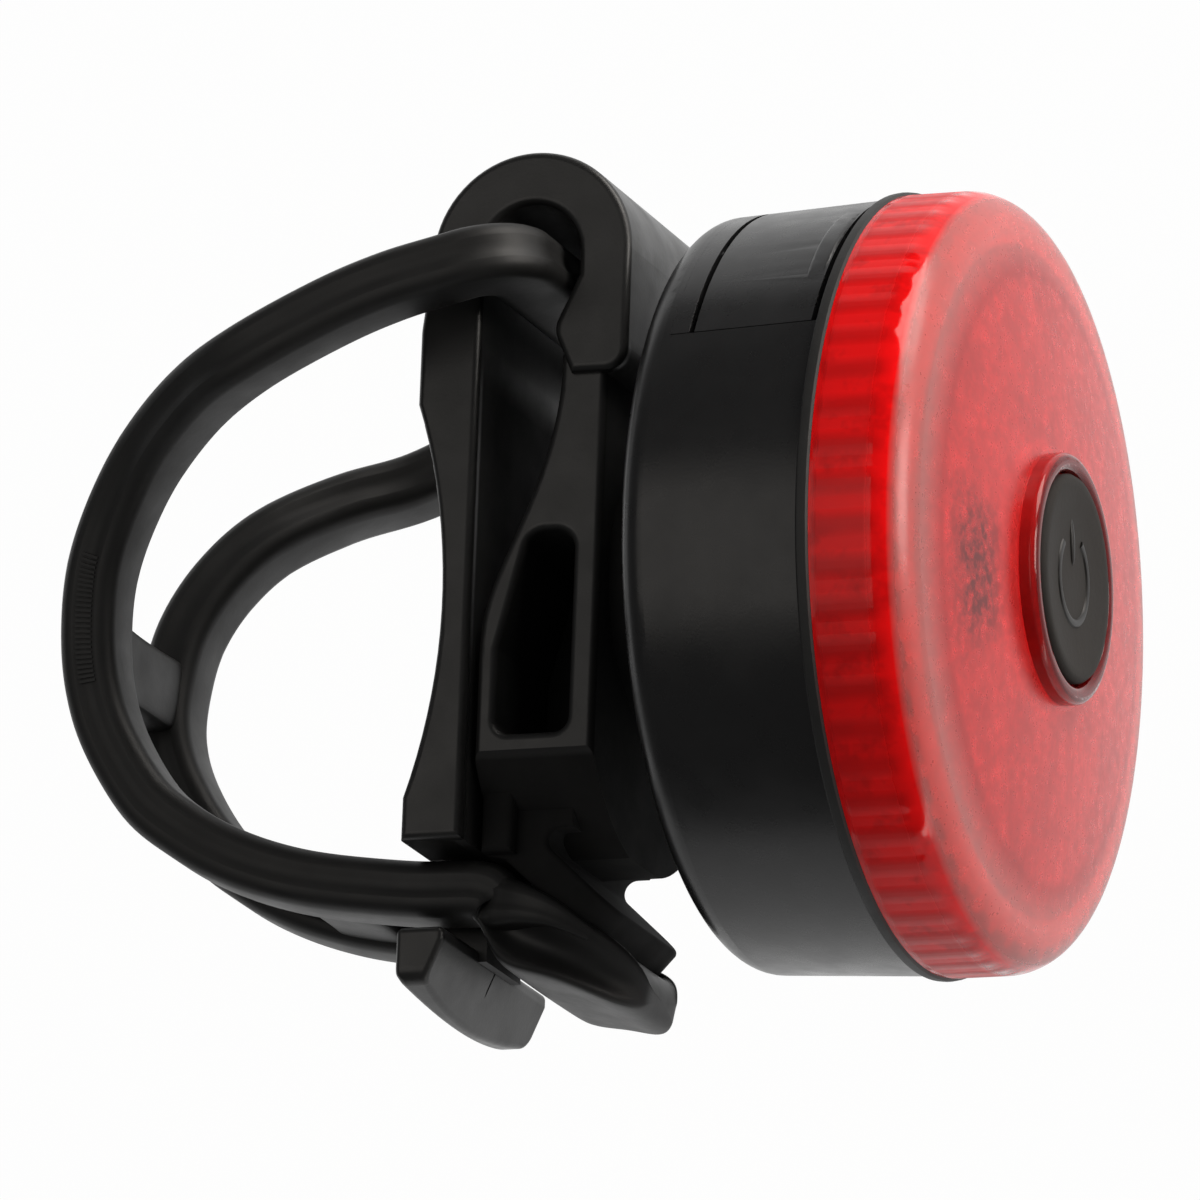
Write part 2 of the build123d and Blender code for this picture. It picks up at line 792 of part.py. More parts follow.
def tongue_and_lip():
    """The block's back wall runs on below it and flares out towards the lamp."""
    front = block_foot_reach - tongue_thickness
    tongue = side_piece(
        [
            (-block_foot_reach, -window_end_drop),
            (-block_foot_reach, -tongue_end_drop),
            (-front, -tongue_end_drop),
            (-front, -window_end_drop),
        ],
        tongue_width,
    )
    slope_run = lip_root_reach - lip_tip_reach
    slope_drop = lip_tip_drop - lip_root_drop
    slope = sqrt(slope_run**2 + slope_drop**2)
    under_x = -lip_thickness * slope_drop / slope
    under_y = -lip_thickness * slope_run / slope
    lip = make_face(
        Polyline(
            (-block_foot_reach, -lip_root_drop),
            (-block_foot_reach, -tongue_end_drop),
            (-lip_root_reach + under_x, -lip_root_drop + under_y - block_gap / 2),
            (-lip_tip_reach + under_x, -lip_tip_drop + under_y),
            (-lip_tip_reach, -lip_tip_drop),
            (-lip_root_reach, -lip_root_drop),
            (-lip_root_reach + lip_web_run, -lip_root_drop),
            (-lip_root_reach + lip_web_run, -lip_root_drop + 2 * tongue_thickness),
            (-block_foot_reach, -lip_root_drop + 2 * tongue_thickness),
            close=True,
        )
    )
    lip = rounded(lip, [(-lip_root_reach, -lip_root_drop, 0)], lip_web_round)
    flare = extrude(lip, lip_width / 2, both=True)
    middle = Vector(-lip_tip_reach + under_x / 2, -lip_tip_drop + under_y / 2, 0)
    for way in (-1, 1):
        corner = Vertex(middle.X, middle.Y, way * lip_width / 2)
        flare = fillet(flare.edges().sort_by_distance(corner)[0], lip_corner_round)
    tip_edges = flare.edges().sort_by_distance(Vertex(middle.X, middle.Y, 0))
    across = [edge for edge in tip_edges if abs(edge.center().Z) < bond_gap][:2]
    flare = fillet(across, lip_edge_round)
    return fillet(end_edges(tongue), lip_edge_round), flare


def hook():
    """Narrow neck and wide T-shaped head that the strap's ladder catches on, its lower edge arched."""
    neck = side_piece(
        [
            (-plate_outer_reach, -plate_end_drop + overrun),
            (-plate_outer_reach, -hook_shoulder_drop),
            (-plate_outer_reach + neck_thickness, -hook_shoulder_drop),
            (-plate_outer_reach + neck_thickness, -plate_end_drop + overrun),
        ],
        neck_width,
    )
    head = side_piece(
        [
            (-hook_back_reach, -hook_top_drop),
            (-hook_back_reach, -hook_heel_drop),
            (-hook_tip_reach - (hook_back_reach - hook_tip_reach) / 2, -hook_end_drop),
            (-hook_tip_reach, -hook_end_drop),
            (-hook_front_reach, -hook_shoulder_drop),
            (-hook_front_reach, -hook_top_drop),
        ],
        hook_width,
    )
    half = hook_width / 2
    side_end = -hook_end_drop + hook_arch_height
    outline = make_face(
        Curve()
        + [
            ThreePointArc((side_end, -half), (-hook_end_drop, 0), (side_end, half)),
            Polyline((side_end, half), (-hook_top_drop, half), (-hook_top_drop, -half), (side_end, -half)),
        ]
    )
    outline = rounded(outline, [(side_end, -half, 0), (side_end, half, 0)], hook_side_round)
    head &= extrude(Plane.YZ * outline, 2 * hook_back_reach, both=True)
    head = fillet(head.edges(), hook_edge_round)
    crease = side_piece(
        [
            (-hook_front_reach + overrun, -hook_top_drop),
            (-hook_front_reach - crease_depth, -hook_top_drop),
            (-hook_front_reach - crease_depth, -hook_shoulder_drop),
            (-hook_tip_reach - crease_depth, -hook_end_drop - overrun),
            (-hook_front_reach + overrun, -hook_end_drop - overrun),
        ],
        crease_width,
    )
    return neck, head - crease


def make_bracket():
    """The whole bracket as one moulding, with its boss against the housing and two blind screw holes."""
    body = side * eyelet_and_plate()
    body += side * gusset_block() - lamp * block_end_cut()
    for piece in tongue_and_lip():
        body += side * piece
    for piece in hook():
        body += side * piece
    body += lamp * disc(bracket_boss_radius, -block_reach - overrun / 2, 0)
    for place in bracket_screw_places():
        body -= lamp * place * disc(bracket_screw_radius + bond_gap, -bracket_screw_bite - soft_gap, overrun)
    return body


def row_point(reach, height, spread):
    """A place given by reach behind the lamp's back, height above its axis and distance up the post."""
    return Vector(saddle_centre_drop + height, reach - saddle_to_lamp, spread)


def loop_plane():
    """The plane of the strap's loop: x along the rails where they leave it, y up the post."""
    start = row_point(eyelet_reach, eyelet_rise - loop_sag, 0)
    reach_share, rise_share, spread_share = rail_route_shares[0]
    to = row_point(reach_share * strap_reach, rise_share * strap_drop, 0)
    along = (to - start).normalized()
    return Plane(origin=start, x_dir=along, z_dir=along.cross(Vector(0, 0, 1)))


def strap_loop():
    """The bar through the eyelet and the two bends that lead into the rails."""
    straight = loop_spread - loop_bend_radius
    section = Plane.XZ * RectangleRounded(strap_width, strap_thickness, strap_round)
    bar = extrude(section, straight, both=True)
    centre = Axis((loop_bend_radius, straight, 0), (0, 0, -1))
    bend = revolve(Pos(0, straight, 0) * section, centre, revolution_arc=90)
    return loop_plane() * (bar + bend + mirror(bend, Plane.XZ))


def rail_route(way):
    """The centre line of one rail, from the end of the loop to the tab."""
    plane = loop_plane()
    start = plane.from_local_coords(Vector(loop_bend_radius, way * loop_spread, 0))
    points = [start]
    for reach_share, rise_share, spread_share in rail_route_shares:
        spread = rail_spread + spread_share * (loop_spread - rail_spread)
        points.append(row_point(reach_share * strap_reach, rise_share * strap_drop, way * spread))
    end_drop = rail_end_drop_share * strap_drop
    points.append(row_point(tab_root_reach - rail_tab_overlap, -end_drop, way * rail_spread))
    return Spline(*points, tangents=(plane.x_dir, points[-1] - points[-2]))


def section_at(route, share, width, thickness, corner):
    """The strap's section across its route, its width as near to the post's direction as it goes."""
    tangent = route % share
    up = Vector(0, 0, 1)
    across = (up - tangent * up.dot(tangent)).normalized()
    plane = Plane(origin=route @ share, x_dir=across, z_dir=tangent)
    return plane * RectangleRounded(width, thickness, corner)


def strap_rail(way):
    """One rail, lofted along its route."""
    route = rail_route(way)
    steps = rail_section_count - 1
    sections = [
        section_at(route, step / steps, strap_width, strap_thickness, strap_round)
        for step in range(rail_section_count)
    ]
    return loft(sections)


def strap_bridge(share):
    """A cross bar between the rails."""
    route = rail_route(1)
    tangent = route % share
    flat = Vector(tangent.X, tangent.Y, 0).normalized()
    place = route @ share
    plane = Plane(origin=(place.X, place.Y, 0), x_dir=Vector(0, 0, 1), z_dir=flat)
    bar = Box(2 * place.Z, bridge_thickness, bridge_length)
    return plane * fillet(bar.edges().filter_by(Axis.X), bridge_thickness / 4)


def tab_outline(drop_top):
    """The tab's side outline, its top lowered by an amount."""
    run = tab_root_reach - tab_tip_reach
    fall = tab_tip_drop - tab_root_drop
    top = [(-tab_root_reach + x * run, -tab_root_drop - y * fall - drop_top) for x, y in tab_top_shares]
    under = [(-tab_root_reach + x * run, -tab_root_drop - y * fall) for x, y in tab_under_shares]
    return top, under


def strap_tab():
    """The finger tab: a tapered block with a trough along its top, where the bracket's lip lies."""
    top, under = tab_outline(0)
    body = side_piece([*top, *under, (-tab_root_reach, -tab_root_end_drop)], tab_width)
    tip = -tab_tip_reach
    root = -tab_root_reach
    shoulder = -tab_shoulder_reach
    plan = make_face(
        Polyline(
            (root - overrun, -tab_width / 2),
            (shoulder, -tab_width / 2),
            (tip, -tab_tip_width / 2),
            (tip, tab_tip_width / 2),
            (shoulder, tab_width / 2),
            (root - overrun, tab_width / 2),
            close=True,
        )
    )
    plan = rounded(plan, [(tip, -tab_tip_width / 2, 0), (tip, tab_tip_width / 2, 0)], tab_tip_round)
    plan = rounded(plan, [(shoulder, -tab_width / 2, 0), (shoulder, tab_width / 2, 0)], tab_tip_round)
    body &= extrude(Plane.XZ * plan, 2 * tab_tip_drop, both=True)
    low_top, _ = tab_outline(trough_depth)
    half_way = len(low_top) // 2 + 1
    over = [(x, y) for x, y in low_top[:half_way]]
    trough = side_piece(
        [(over[0][0] - overrun, over[0][1]), *over, (over[-1][0], 0), (over[0][0] - overrun, 0)],
        tab_width - 2 * trough_margin,
    )
    return body - trough


def make_strap():
    """Ladder strap in one piece of rubber."""
    body = strap_loop()
    for way in (-1, 1):
        body += strap_rail(way)
    for share in (first_bridge_share, second_bridge_share):
        body += strap_bridge(share)
    body += side * strap_tab()
    return body


def add(name, shape, plane=lamp):
    """Keeps a node's shape, placed from its own frame into the part's frame."""
    solids = shape if isinstance(shape, list) else [shape]
    placed = [plane * solid for solid in solids]
    nodes[name] = placed[0] if len(placed) == 1 else Compound(placed)


def build():
    """Makes every node and writes it to its own file."""
    add("rear_housing", make_housing())
    add("lens", make_lens())
    add("lens_seal", make_seal())
    add("inner_lens", make_inner_lens())
    add("power_button", make_button())
    add("led_board", make_board())
    add("board_screws", make_board_screws())
    add("leds", make_leds())
    add("controller_chip", Pos(chip_along, chip_across, 0) * slab(
        chip_side, chip_side, board_front, board_front + chip_height))
    add("board_parts", make_chip_parts())
    add("charge_led", polar(charge_led_circle, charge_led_angle) * slab(
        chip_part_width, chip_part_length, board_front, board_front + chip_part_height))
    case, cover, plunger, legs = make_switch()
    add("switch_body", case)
    add("switch_cover", cover)
    add("switch_plunger", plunger)
    add("switch_legs", legs)
    shell, insert = make_usb()
    add("usb_shell", shell)
    add("usb_insert", insert)
    add("port_cover_root", make_cover_root())
    add("port_cover", make_port_cover())
    cell, pad = make_battery()
    add("battery_cell", cell)
    add("battery_pad", pad)
    add("battery_lead_red", make_lead(1))
    add("battery_lead_black", make_lead(-1))
    add("bracket_screws", make_bracket_screws())
    add("clip_bracket", make_bracket(), Plane.XY)
    add("strap", make_strap(), Plane.XY)
    os.makedirs("parts", exist_ok=True)
    for name, shape in nodes.items():
        export_step(shape, f"parts/{name}.step")


build()
tangent = Vector(-sin(radians(port_angle)), 0, cos(radians(port_angle)))
hinge = lamp.from_local_coords(
    Vector(hinge_radius * cos(radians(port_angle)), hinge_radius * sin(radians(port_angle)), hinge_height)
)
print("cover hinge at", hinge, "along", tangent)
print("button travel", button_travel)
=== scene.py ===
"""Looks for a round bike rear light on its clip bracket, with a rubber ladder strap."""

from math import atan2, cos, pi, radians, sin, sqrt

import bmesh
import bpy
from bpy.props import FloatProperty, FloatVectorProperty, IntProperty, PointerProperty
from bpy.types import Operator, Panel, PropertyGroup
from mathutils import Matrix, Vector
from mathutils.geometry import interpolate_bezier


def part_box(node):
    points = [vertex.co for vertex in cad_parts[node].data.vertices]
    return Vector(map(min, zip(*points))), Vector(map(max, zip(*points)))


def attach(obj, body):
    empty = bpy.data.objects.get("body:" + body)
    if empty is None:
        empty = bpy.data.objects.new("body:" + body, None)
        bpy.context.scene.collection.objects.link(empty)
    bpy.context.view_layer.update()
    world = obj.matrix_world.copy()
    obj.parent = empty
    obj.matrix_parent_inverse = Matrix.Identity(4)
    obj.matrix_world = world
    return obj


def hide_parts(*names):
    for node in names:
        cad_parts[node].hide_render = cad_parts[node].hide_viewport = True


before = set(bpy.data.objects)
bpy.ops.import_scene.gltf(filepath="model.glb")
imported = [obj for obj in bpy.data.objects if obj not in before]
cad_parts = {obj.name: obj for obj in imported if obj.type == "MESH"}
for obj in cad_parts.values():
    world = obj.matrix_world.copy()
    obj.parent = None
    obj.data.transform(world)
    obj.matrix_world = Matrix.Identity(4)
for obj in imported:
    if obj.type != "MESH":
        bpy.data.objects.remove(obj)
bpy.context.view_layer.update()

bl_info = {
    "name": "Bike rear light",
    "version": (1, 0, 0),
    "blender": (4, 5, 0),
    "location": "View3D > Sidebar > Rear light",
    "description": "Dresses a packed bike rear light and lights it in a small studio",
    "category": "Object",
}

MM = 0.001
# The lamp's axis, the strap's datum line and the housing's back, in the part's frame.
LAMP_X = 1.65 * MM
SIDE_X = 1.9 * MM
BACK_Y = -13.2 * MM
# Points nearer to each other than this are one point.
SAME_POINT = 0.001 * MM
# Middle of a rail in millimetres: reach behind the lamp, height over the datum, place on the post.
RAIL_ROUTE = (
    (14.92, 13.77, 12.96), (18.38, 12.52, 12.96), (22.81, 10.51, 12.64), (26.37, 8.97, 10.88),
    (29.5, 6.81, 8.8), (31.57, 4.27, 7.44), (32.93, 1.39, 6.48), (33.43, -1.63, 5.76),
    (33.33, -4.63, 5.12), (32.4, -7.53, 4.88), (30.3, -10.82, 4.8), (27.91, -12.75, 4.8),
    (25.57, -14.08, 4.8), (22.81, -15.13, 4.8), (19.78, -15.84, 4.8), (15.15, -16.46, 4.8),
    (11.49, -16.66, 4.8),
)
# How each rail runs on as the tab's rim: reach and height of its middle, its width and thickness.
RIM_ROUTE = (
    (10.6, -17.32, 3.5, 3.0), (9.8, -17.52, 3.0, 2.7), (8.7, -17.78, 2.1, 2.0),
    (7.5, -18.16, 1.3, 1.4), (6.4, -18.72, 0.8, 0.95), (5.6, -19.2, 0.55, 0.6),
)
# Steps along the strap: beside the bracket, round its corner, and between two knots of a route.
STRAIGHT_STEPS = 8
BEND_STEPS = 12
KNOT_STEPS = 8
# Stations along the tab to its tip: reach and height of its top, then of its underside.
TAB_STATIONS = (
    (12.3, -15.3, 12.3, -18.05), (11.6, -15.45, 11.6, -18.3), (10.75, -15.8, 11.1, -19.35),
    (9.8, -16.2, 10.5, -20.45), (8.7, -16.8, 9.8, -21.02), (7.5, -17.5, 8.7, -21.28),
    (6.2, -18.25, 7.4, -21.55), (5.1, -18.85, 6.1, -22.0), (4.25, -19.55, 5.0, -22.4),
    (3.75, -20.25, 4.2, -22.5), (3.5, -20.95, 3.75, -22.3),
)
# How deep the scoop in the tab's side is at each station, as a share of its full depth.
SCOOP_SHARES = (0.12, 0.2, 0.55, 0.85, 1.0, 1.0, 0.95, 0.8, 0.5, 0.15, 0.0)
# The tab's outline across one half of it: share of its width, share of the way down.
TAB_SECTION = (
    (0.0, 0.0), (0.45, 0.0), (0.86, 0.0), (0.905, 0.0), (0.955, 0.0), (0.992, 0.07), (1.0, 0.19),
    (0.965, 0.3), (0.86, 0.42), (0.8, 0.56), (0.83, 0.71), (0.935, 0.83), (0.965, 0.92),
    (0.93, 1.0), (0.7, 1.01), (0.0, 1.02),
)
# The tab in millimetres: half its width, its thickness, its round tip's start and length.
TAB_HALF_WIDTH = 6.9
TAB_THICKNESS = 3.5
TAB_ROUND_START = 8.7
TAB_ROUND_LENGTH = 5.5
# From this reach on it narrows towards the rails, by this share.
TAB_NECK_START = 9.4
TAB_NECK_LOSS = 0.07
# The outer sides of the rims, and the trough on top: its reach, share of the width and depth.
RIM_HALF_WIDTH = 6.95
TROUGH_REACH = (5.5, 11.7)
TROUGH_SHARE = 0.87
TROUGH_DEPTH = 1.15
TROUGH_END_DEPTH = 0.35
# Rows of the outline in the scoop: their shares across and down, and where they go without it.
SCOOP_ACROSS = (0.79, 0.97)
SCOOP_DOWN = (0.25, 0.9)
UNSCOOPED = 0.985
# Bands on the lens in millimetres, first by height over the housing's back.
RIB_FOOT, RIB_HEAD = (10.7, 11.0), (13.9, 14.6)
DULL_WALL_END = (13.4, 14.0)
FACE_START = (14.6, 15.0)
# Then by distance from the lamp's axis.
# The button's ring takes painted shade.
RING_EDGE = (6.3, 6.8)
# The chip's patch of painted shade fades in and out across these.
CHIP_NEAR, CHIP_FAR = (8.5, 10.5), (13.0, 15.5)
# The face takes painted shade over the disc's edge.
DISC_EDGE_NEAR, DISC_EDGE_FAR = (15.3, 15.8), (16.0, 17.2)
# The face's rim takes a painted reflection, paler towards the edge.
FACE_RIM = (15.9, 17.9)
LENS_RIB_COUNT = 60.0
# The chip's patch of painted shade on the face: its turn round the axis in radians, and the sines
# it fades in between.
CHIP_TURN = 0.2
CHIP_SINES = (0.93, 0.985)
ACRYLIC_IOR = 1.49
# Where the bracket's faces inside the clip end, in millimetres: at its eyelet, sides and front.
# Inside, they carry painted shade and a matt finish.
CLIP_TOP, CLIP_SIDE, CLIP_FRONT = (11.5, 13.5), (8.1, 8.35), (-1.2, -0.9)
# Soft lamps: direction to the camera's right, up and back, size in metres, share of full power.
SOFTBOXES = {
    "High_softbox": ((0.6, 1.0, 0.1), 0.45, 1.0),
    "Lens_softbox": ((0.82, 0.34, 0.46), 0.3, 0.66),
    "Low_softbox": ((0.7, -0.95, 0.15), 0.4, 0.5),
    "Front_panel": ((-0.64, 0.22, 0.74), 0.55, 0.2),
}


def lamp_point(radius, height, angle=0.0):
    """A point from its distance to the lamp's axis, its height and its angle, in millimetres."""
    across, along = radius * MM * cos(angle), radius * MM * sin(angle)
    return Vector((LAMP_X + across, BACK_Y - height * MM, along))


def side_point(reach, height, along):
    """A point of the strap from its reach, height and place on the post, in millimetres."""
    return Vector((SIDE_X + height * MM, BACK_Y + reach * MM, along * MM))


# ---- properties ----


def colour_setting(name, description, value):
    """A colour property."""
    return FloatVectorProperty(
        name=name, description=description, subtype="COLOR", size=3, min=0, max=1, default=value,
    )


def length_setting(name, description, value):
    """A length property, in metres."""
    return FloatProperty(name=name, description=description, unit="LENGTH", default=value)


class LampFinish(PropertyGroup):
    """Colours of the lamp's own pieces."""

    lens_red: colour_setting("Lens", "Colour of the clear lens", (0.86, 0.003, 0.004))
    haze_red: colour_setting(
        "Lens face", "Colour of the lens where it is hazy", (0.82, 0.035, 0.035)
    )
    disc_red: colour_setting(
        "Inner disc", "Colour of the pebbled disc behind the face", (0.75, 0.12, 0.12)
    )
    housing_black: colour_setting("Housing", "Colour of the moulded cup", (0.009, 0.009, 0.0095))
    button_black: colour_setting("Button", "Colour of the rubber button", (0.011, 0.0095, 0.0085))


class BandFinish(PropertyGroup):
    """Sizes and colours of the strap and the bracket."""

    bracket_black: colour_setting("Bracket", "Colour of the bracket", (0.011, 0.011, 0.011))
    rubber_black: colour_setting("Strap", "Colour of the strap", (0.008, 0.008, 0.008))
    rail_width: length_setting("Rail width", "Width of a rail along the post", 3.8 * MM)
    rail_thickness: length_setting("Rail thickness", "Thickness of a rail", 3.0 * MM)
    groove_depth: length_setting("Groove depth", "Depth of the groove in a rail's side", 0.14 * MM)
    rib_count: IntProperty(
        name="Grip ribs", description="Fine ribs across each groove", default=26, min=0, max=60,
    )


class StudioSettings(PropertyGroup):
    """Camera and lamps."""

    distance: length_setting("Distance", "From the camera to the housing's back", 0.8)
    lens_length: FloatProperty(
        name="Lens", description="Focal length in millimetres on a 36 mm sensor", default=465.4,
    )
    softbox_power: FloatProperty(
        name="Softbox power", description="Watts of the key softbox", default=5.0,
    )
    sky_level: FloatProperty(
        name="Sky level", description="Strength of the surrounding light", default=0.15,
    )


# ---- materials ----


class Surface:
    """A small helper that builds one node material round a Principled shader."""

    def __init__(self, name, colour, roughness, **sockets):
        self.material = bpy.data.materials.new(name)
        self.material.use_nodes = True
        self.tree = self.material.node_tree
        self.shader = self.tree.nodes["Principled BSDF"]
        self.shader.inputs["Base Color"].default_value = (*colour, 1)
        self.shader.inputs["Roughness"].default_value = roughness
        for socket, value in sockets.items():
            self.shader.inputs[socket.replace("_", " ")].default_value = value
        self.place = self.tree.nodes.new("ShaderNodeTexCoord").outputs["Object"]
        self.last_normal = None

    def node(self, kind, **inputs):
        """A node with some of its inputs set or linked."""
        made = self.tree.nodes.new(kind)
        for name, value in inputs.items():
            self.feed(made, name.replace("_", " "), value)
        return made

    def feed(self, node, name, value):
        """Sets an input, or links it where the value is another node's output."""
        if isinstance(value, bpy.types.NodeSocket):
            self.tree.links.new(value, node.inputs[name])
        else:
            node.inputs[name].default_value = value

    def parts(self):
        """The three parts of a place on the piece."""
        return self.node("ShaderNodeSeparateXYZ", Vector=self.place).outputs

    def stretched(self, scale):
        """Object coordinates scaled differently along each axis."""
        return self.node("ShaderNodeMapping", Vector=self.place, Scale=scale).outputs["Vector"]

    def noise(self, scale, detail=3.0, roughness=0.55, where=None):
        """A noise pattern's value; the scale counts features in a metre."""
        where = where or self.place
        made = self.node(
            "ShaderNodeTexNoise", Vector=where, Scale=scale, Detail=detail, Roughness=roughness
        )
        return made.outputs["Fac"]

    def cells(self, scale, feature="F1"):
        """A cell pattern's distance."""
        made = self.node("ShaderNodeTexVoronoi", Vector=self.place, Scale=scale)
        made.feature = feature
        return made.outputs["Distance"]

    def spread(self, value, low, high, from_low=0.3, from_high=0.7):
        """A value moved to another range."""
        made = self.node(
            "ShaderNodeMapRange", Value=value, From_Min=from_low, From_Max=from_high, To_Min=low,
            To_Max=high,
        )
        return made.outputs["Result"]

    def rise(self, value, band, most=1.0):
        """Grows from nothing across a band given in millimetres."""
        return self.spread(value, 0, most, band[0] * MM, band[1] * MM)

    def fall(self, value, band, most=1.0):
        """Dies away across a band given in millimetres."""
        return self.spread(value, most, 0, band[0] * MM, band[1] * MM)

    def math(self, operation, first, second=0.0):
        """A math node's result from two numbers or outputs."""
        made = self.tree.nodes.new("ShaderNodeMath")
        made.operation = operation
        self.feed(made, 0, first)
        self.feed(made, 1, second)
        return made.outputs[0]

    def times(self, first, second):
        """Two numbers or outputs multiplied."""
        return self.math("MULTIPLY", first, second)

    def blend(self, factor, first, second):
        """A colour between two colours or outputs, by a pattern."""
        made = self.tree.nodes.new("ShaderNodeMix")
        made.data_type = "RGBA"
        self.feed(made, 0, factor)
        for socket, colour in ((6, first), (7, second)):
            plain = not isinstance(colour, bpy.types.NodeSocket)
            self.feed(made, socket, (*colour, 1) if plain else colour)
        return made.outputs[2]

    def mottle(self, factor, first, second):
        """Base colour mixed between two colours by a pattern."""
        self.feed(self.shader, "Base Color", self.blend(factor, first, second))

    def rough(self, value):
        """Roughness from a pattern."""
        self.feed(self.shader, "Roughness", value)

    def bump(self, height, depth, strength=1.0):
        """Relief from a pattern, its depth in metres. Further calls add to it."""
        made = self.node("ShaderNodeBump", Height=height, Strength=strength, Distance=depth)
        if self.last_normal:
            self.feed(made, "Normal", self.last_normal)
        self.last_normal = made.outputs["Normal"]
        self.feed(self.shader, "Normal", self.last_normal)

    def give_way(self, other, factor):
        """Lets another shader take over by a factor."""
        mix = self.node("ShaderNodeMixShader", Fac=factor)
        self.feed(mix, 1, self.shader.outputs["BSDF"])
        self.feed(mix, 2, other.outputs[0])
        self.feed(self.tree.nodes["Material Output"], "Surface", mix.outputs["Shader"])


def shade(colour, factor):
    """A colour made lighter or darker."""
    return tuple(min(1.0, part * factor) for part in colour)


def moulded_plastic(name, colour, low, high, grain, shade_and_dull_places=None):
    """Satin moulded plastic: fine grain, flow marks and uneven gloss, matt and darkened by painted
    shade at some places.
    """
    made = Surface(name, colour, low, Specular_IOR_Level=0.33)
    tone = made.blend(made.noise(160), shade(colour, 0.8), shade(colour, 1.3))
    roughness = made.spread(made.noise(420, 4), low, high)
    if shade_and_dull_places:
        shade_and_matt = shade_and_dull_places(made)
        # Painted shade: darker where the mask says.
        tone = made.blend(shade_and_matt, tone, shade(colour, 0.35))
        roughness = made.math("ADD", roughness, made.times(shade_and_matt, 0.55))
    made.feed(made.shader, "Base Color", tone)
    made.rough(roughness)
    made.bump(made.noise(6200, 2), grain)
    made.bump(made.noise(240, 2), grain * 1.2, 0.3)
    return made.material


def clip_shade_and_dull_mask(made):
    """Mask of painted shade and matt finish on the bracket's faces inside the clip: below its
    eyelet, between its sides, near its front.
    """
    parts = made.parts()
    below = made.fall(parts["X"], CLIP_TOP)
    within = made.fall(made.math("ABSOLUTE", parts["Z"]), CLIP_SIDE)
    front = made.fall(parts["Y"], CLIP_FRONT)
    return made.times(made.times(below, within), front)


def soft_rubber(name, colour, low, high, grain):
    """Moulded rubber: a dull bloom, fine grain and faint dust."""
    made = Surface(name, colour, low, Specular_IOR_Level=0.26)
    bloom = made.noise(260, 5, 0.65)
    made.mottle(bloom, shade(colour, 0.75), shade(colour, 1.7))
    made.rough(made.spread(bloom, low, high))
    made.bump(made.noise(3600, 3), grain)
    made.bump(made.cells(2400), grain * 0.6, 0.5)
    return made.material


def lens_places(made):
    """Distance from the lamp's axis, height over the housing's back and angle round the axis."""
    parts = made.parts()
    across = made.math("SUBTRACT", parts["X"], LAMP_X)
    angle = made.math("ARCTAN2", parts["Z"], across)
    height = made.math("SUBTRACT", BACK_Y, parts["Y"])
    squares = made.math("ADD", made.times(across, across), made.times(parts["Z"], parts["Z"]))
    return made.math("SQRT", squares), height, angle


def lens_wall(made, colour, ribs, ring, blots):
    """Colour of the clear parts: blotchy, with painted shade of the flutes in the ribs and the
    darkest painted shade in the button's ring.
    """
    wall = made.blend(made.spread(blots, 0, 1, 0.5, 0.66), colour, shade(colour, 0.7))
    # Painted shade: darker in the ribs, for the flutes' light and dark lines.
    wall = made.blend(ribs, wall, shade(colour, 0.7))
    # Painted shade: the button's ring much darker.
    return made.blend(ring, wall, shade(colour, 0.12))


def lens_mist(made, haze, places, blots, speckle):
    """Colour of the hazy face: speckled, with a painted reflection pale at its rim and painted
    shade dark at the disc's edge and over the chip.
    """
    radius, angle = places
    mist = made.blend(made.spread(speckle, 0, 1, 0.35, 0.65), haze, shade(haze, 0.72))
    mist = made.blend(made.spread(blots, 0, 0.75, 0.38, 0.66), mist, shade(haze, 0.6))
    # Painted shade over the disc's edge.
    disc_edge_shade = made.times(made.rise(radius, DISC_EDGE_NEAR), made.fall(radius, DISC_EDGE_FAR))
    mist = made.blend(made.times(disc_edge_shade, 0.5), mist, shade(haze, 0.45))
    # Painted shade: a dark patch on the face where the chip lies behind it.
    sine = made.math("SINE", made.math("SUBTRACT", angle, CHIP_TURN))
    chip = made.times(made.rise(radius, CHIP_NEAR), made.fall(radius, CHIP_FAR))
    chip = made.times(made.spread(sine, 0, 1, *CHIP_SINES), chip)
    chip = made.times(chip, made.spread(speckle, 0.2, 0.9, 0.38, 0.6))
    mist = made.blend(chip, mist, shade(haze, 0.12))
    # Painted reflection: the face pales towards its rim.
    pale = (0.46, 0.2, 0.19)
    return made.blend(made.rise(radius, FACE_RIM, 0.7), mist, pale)


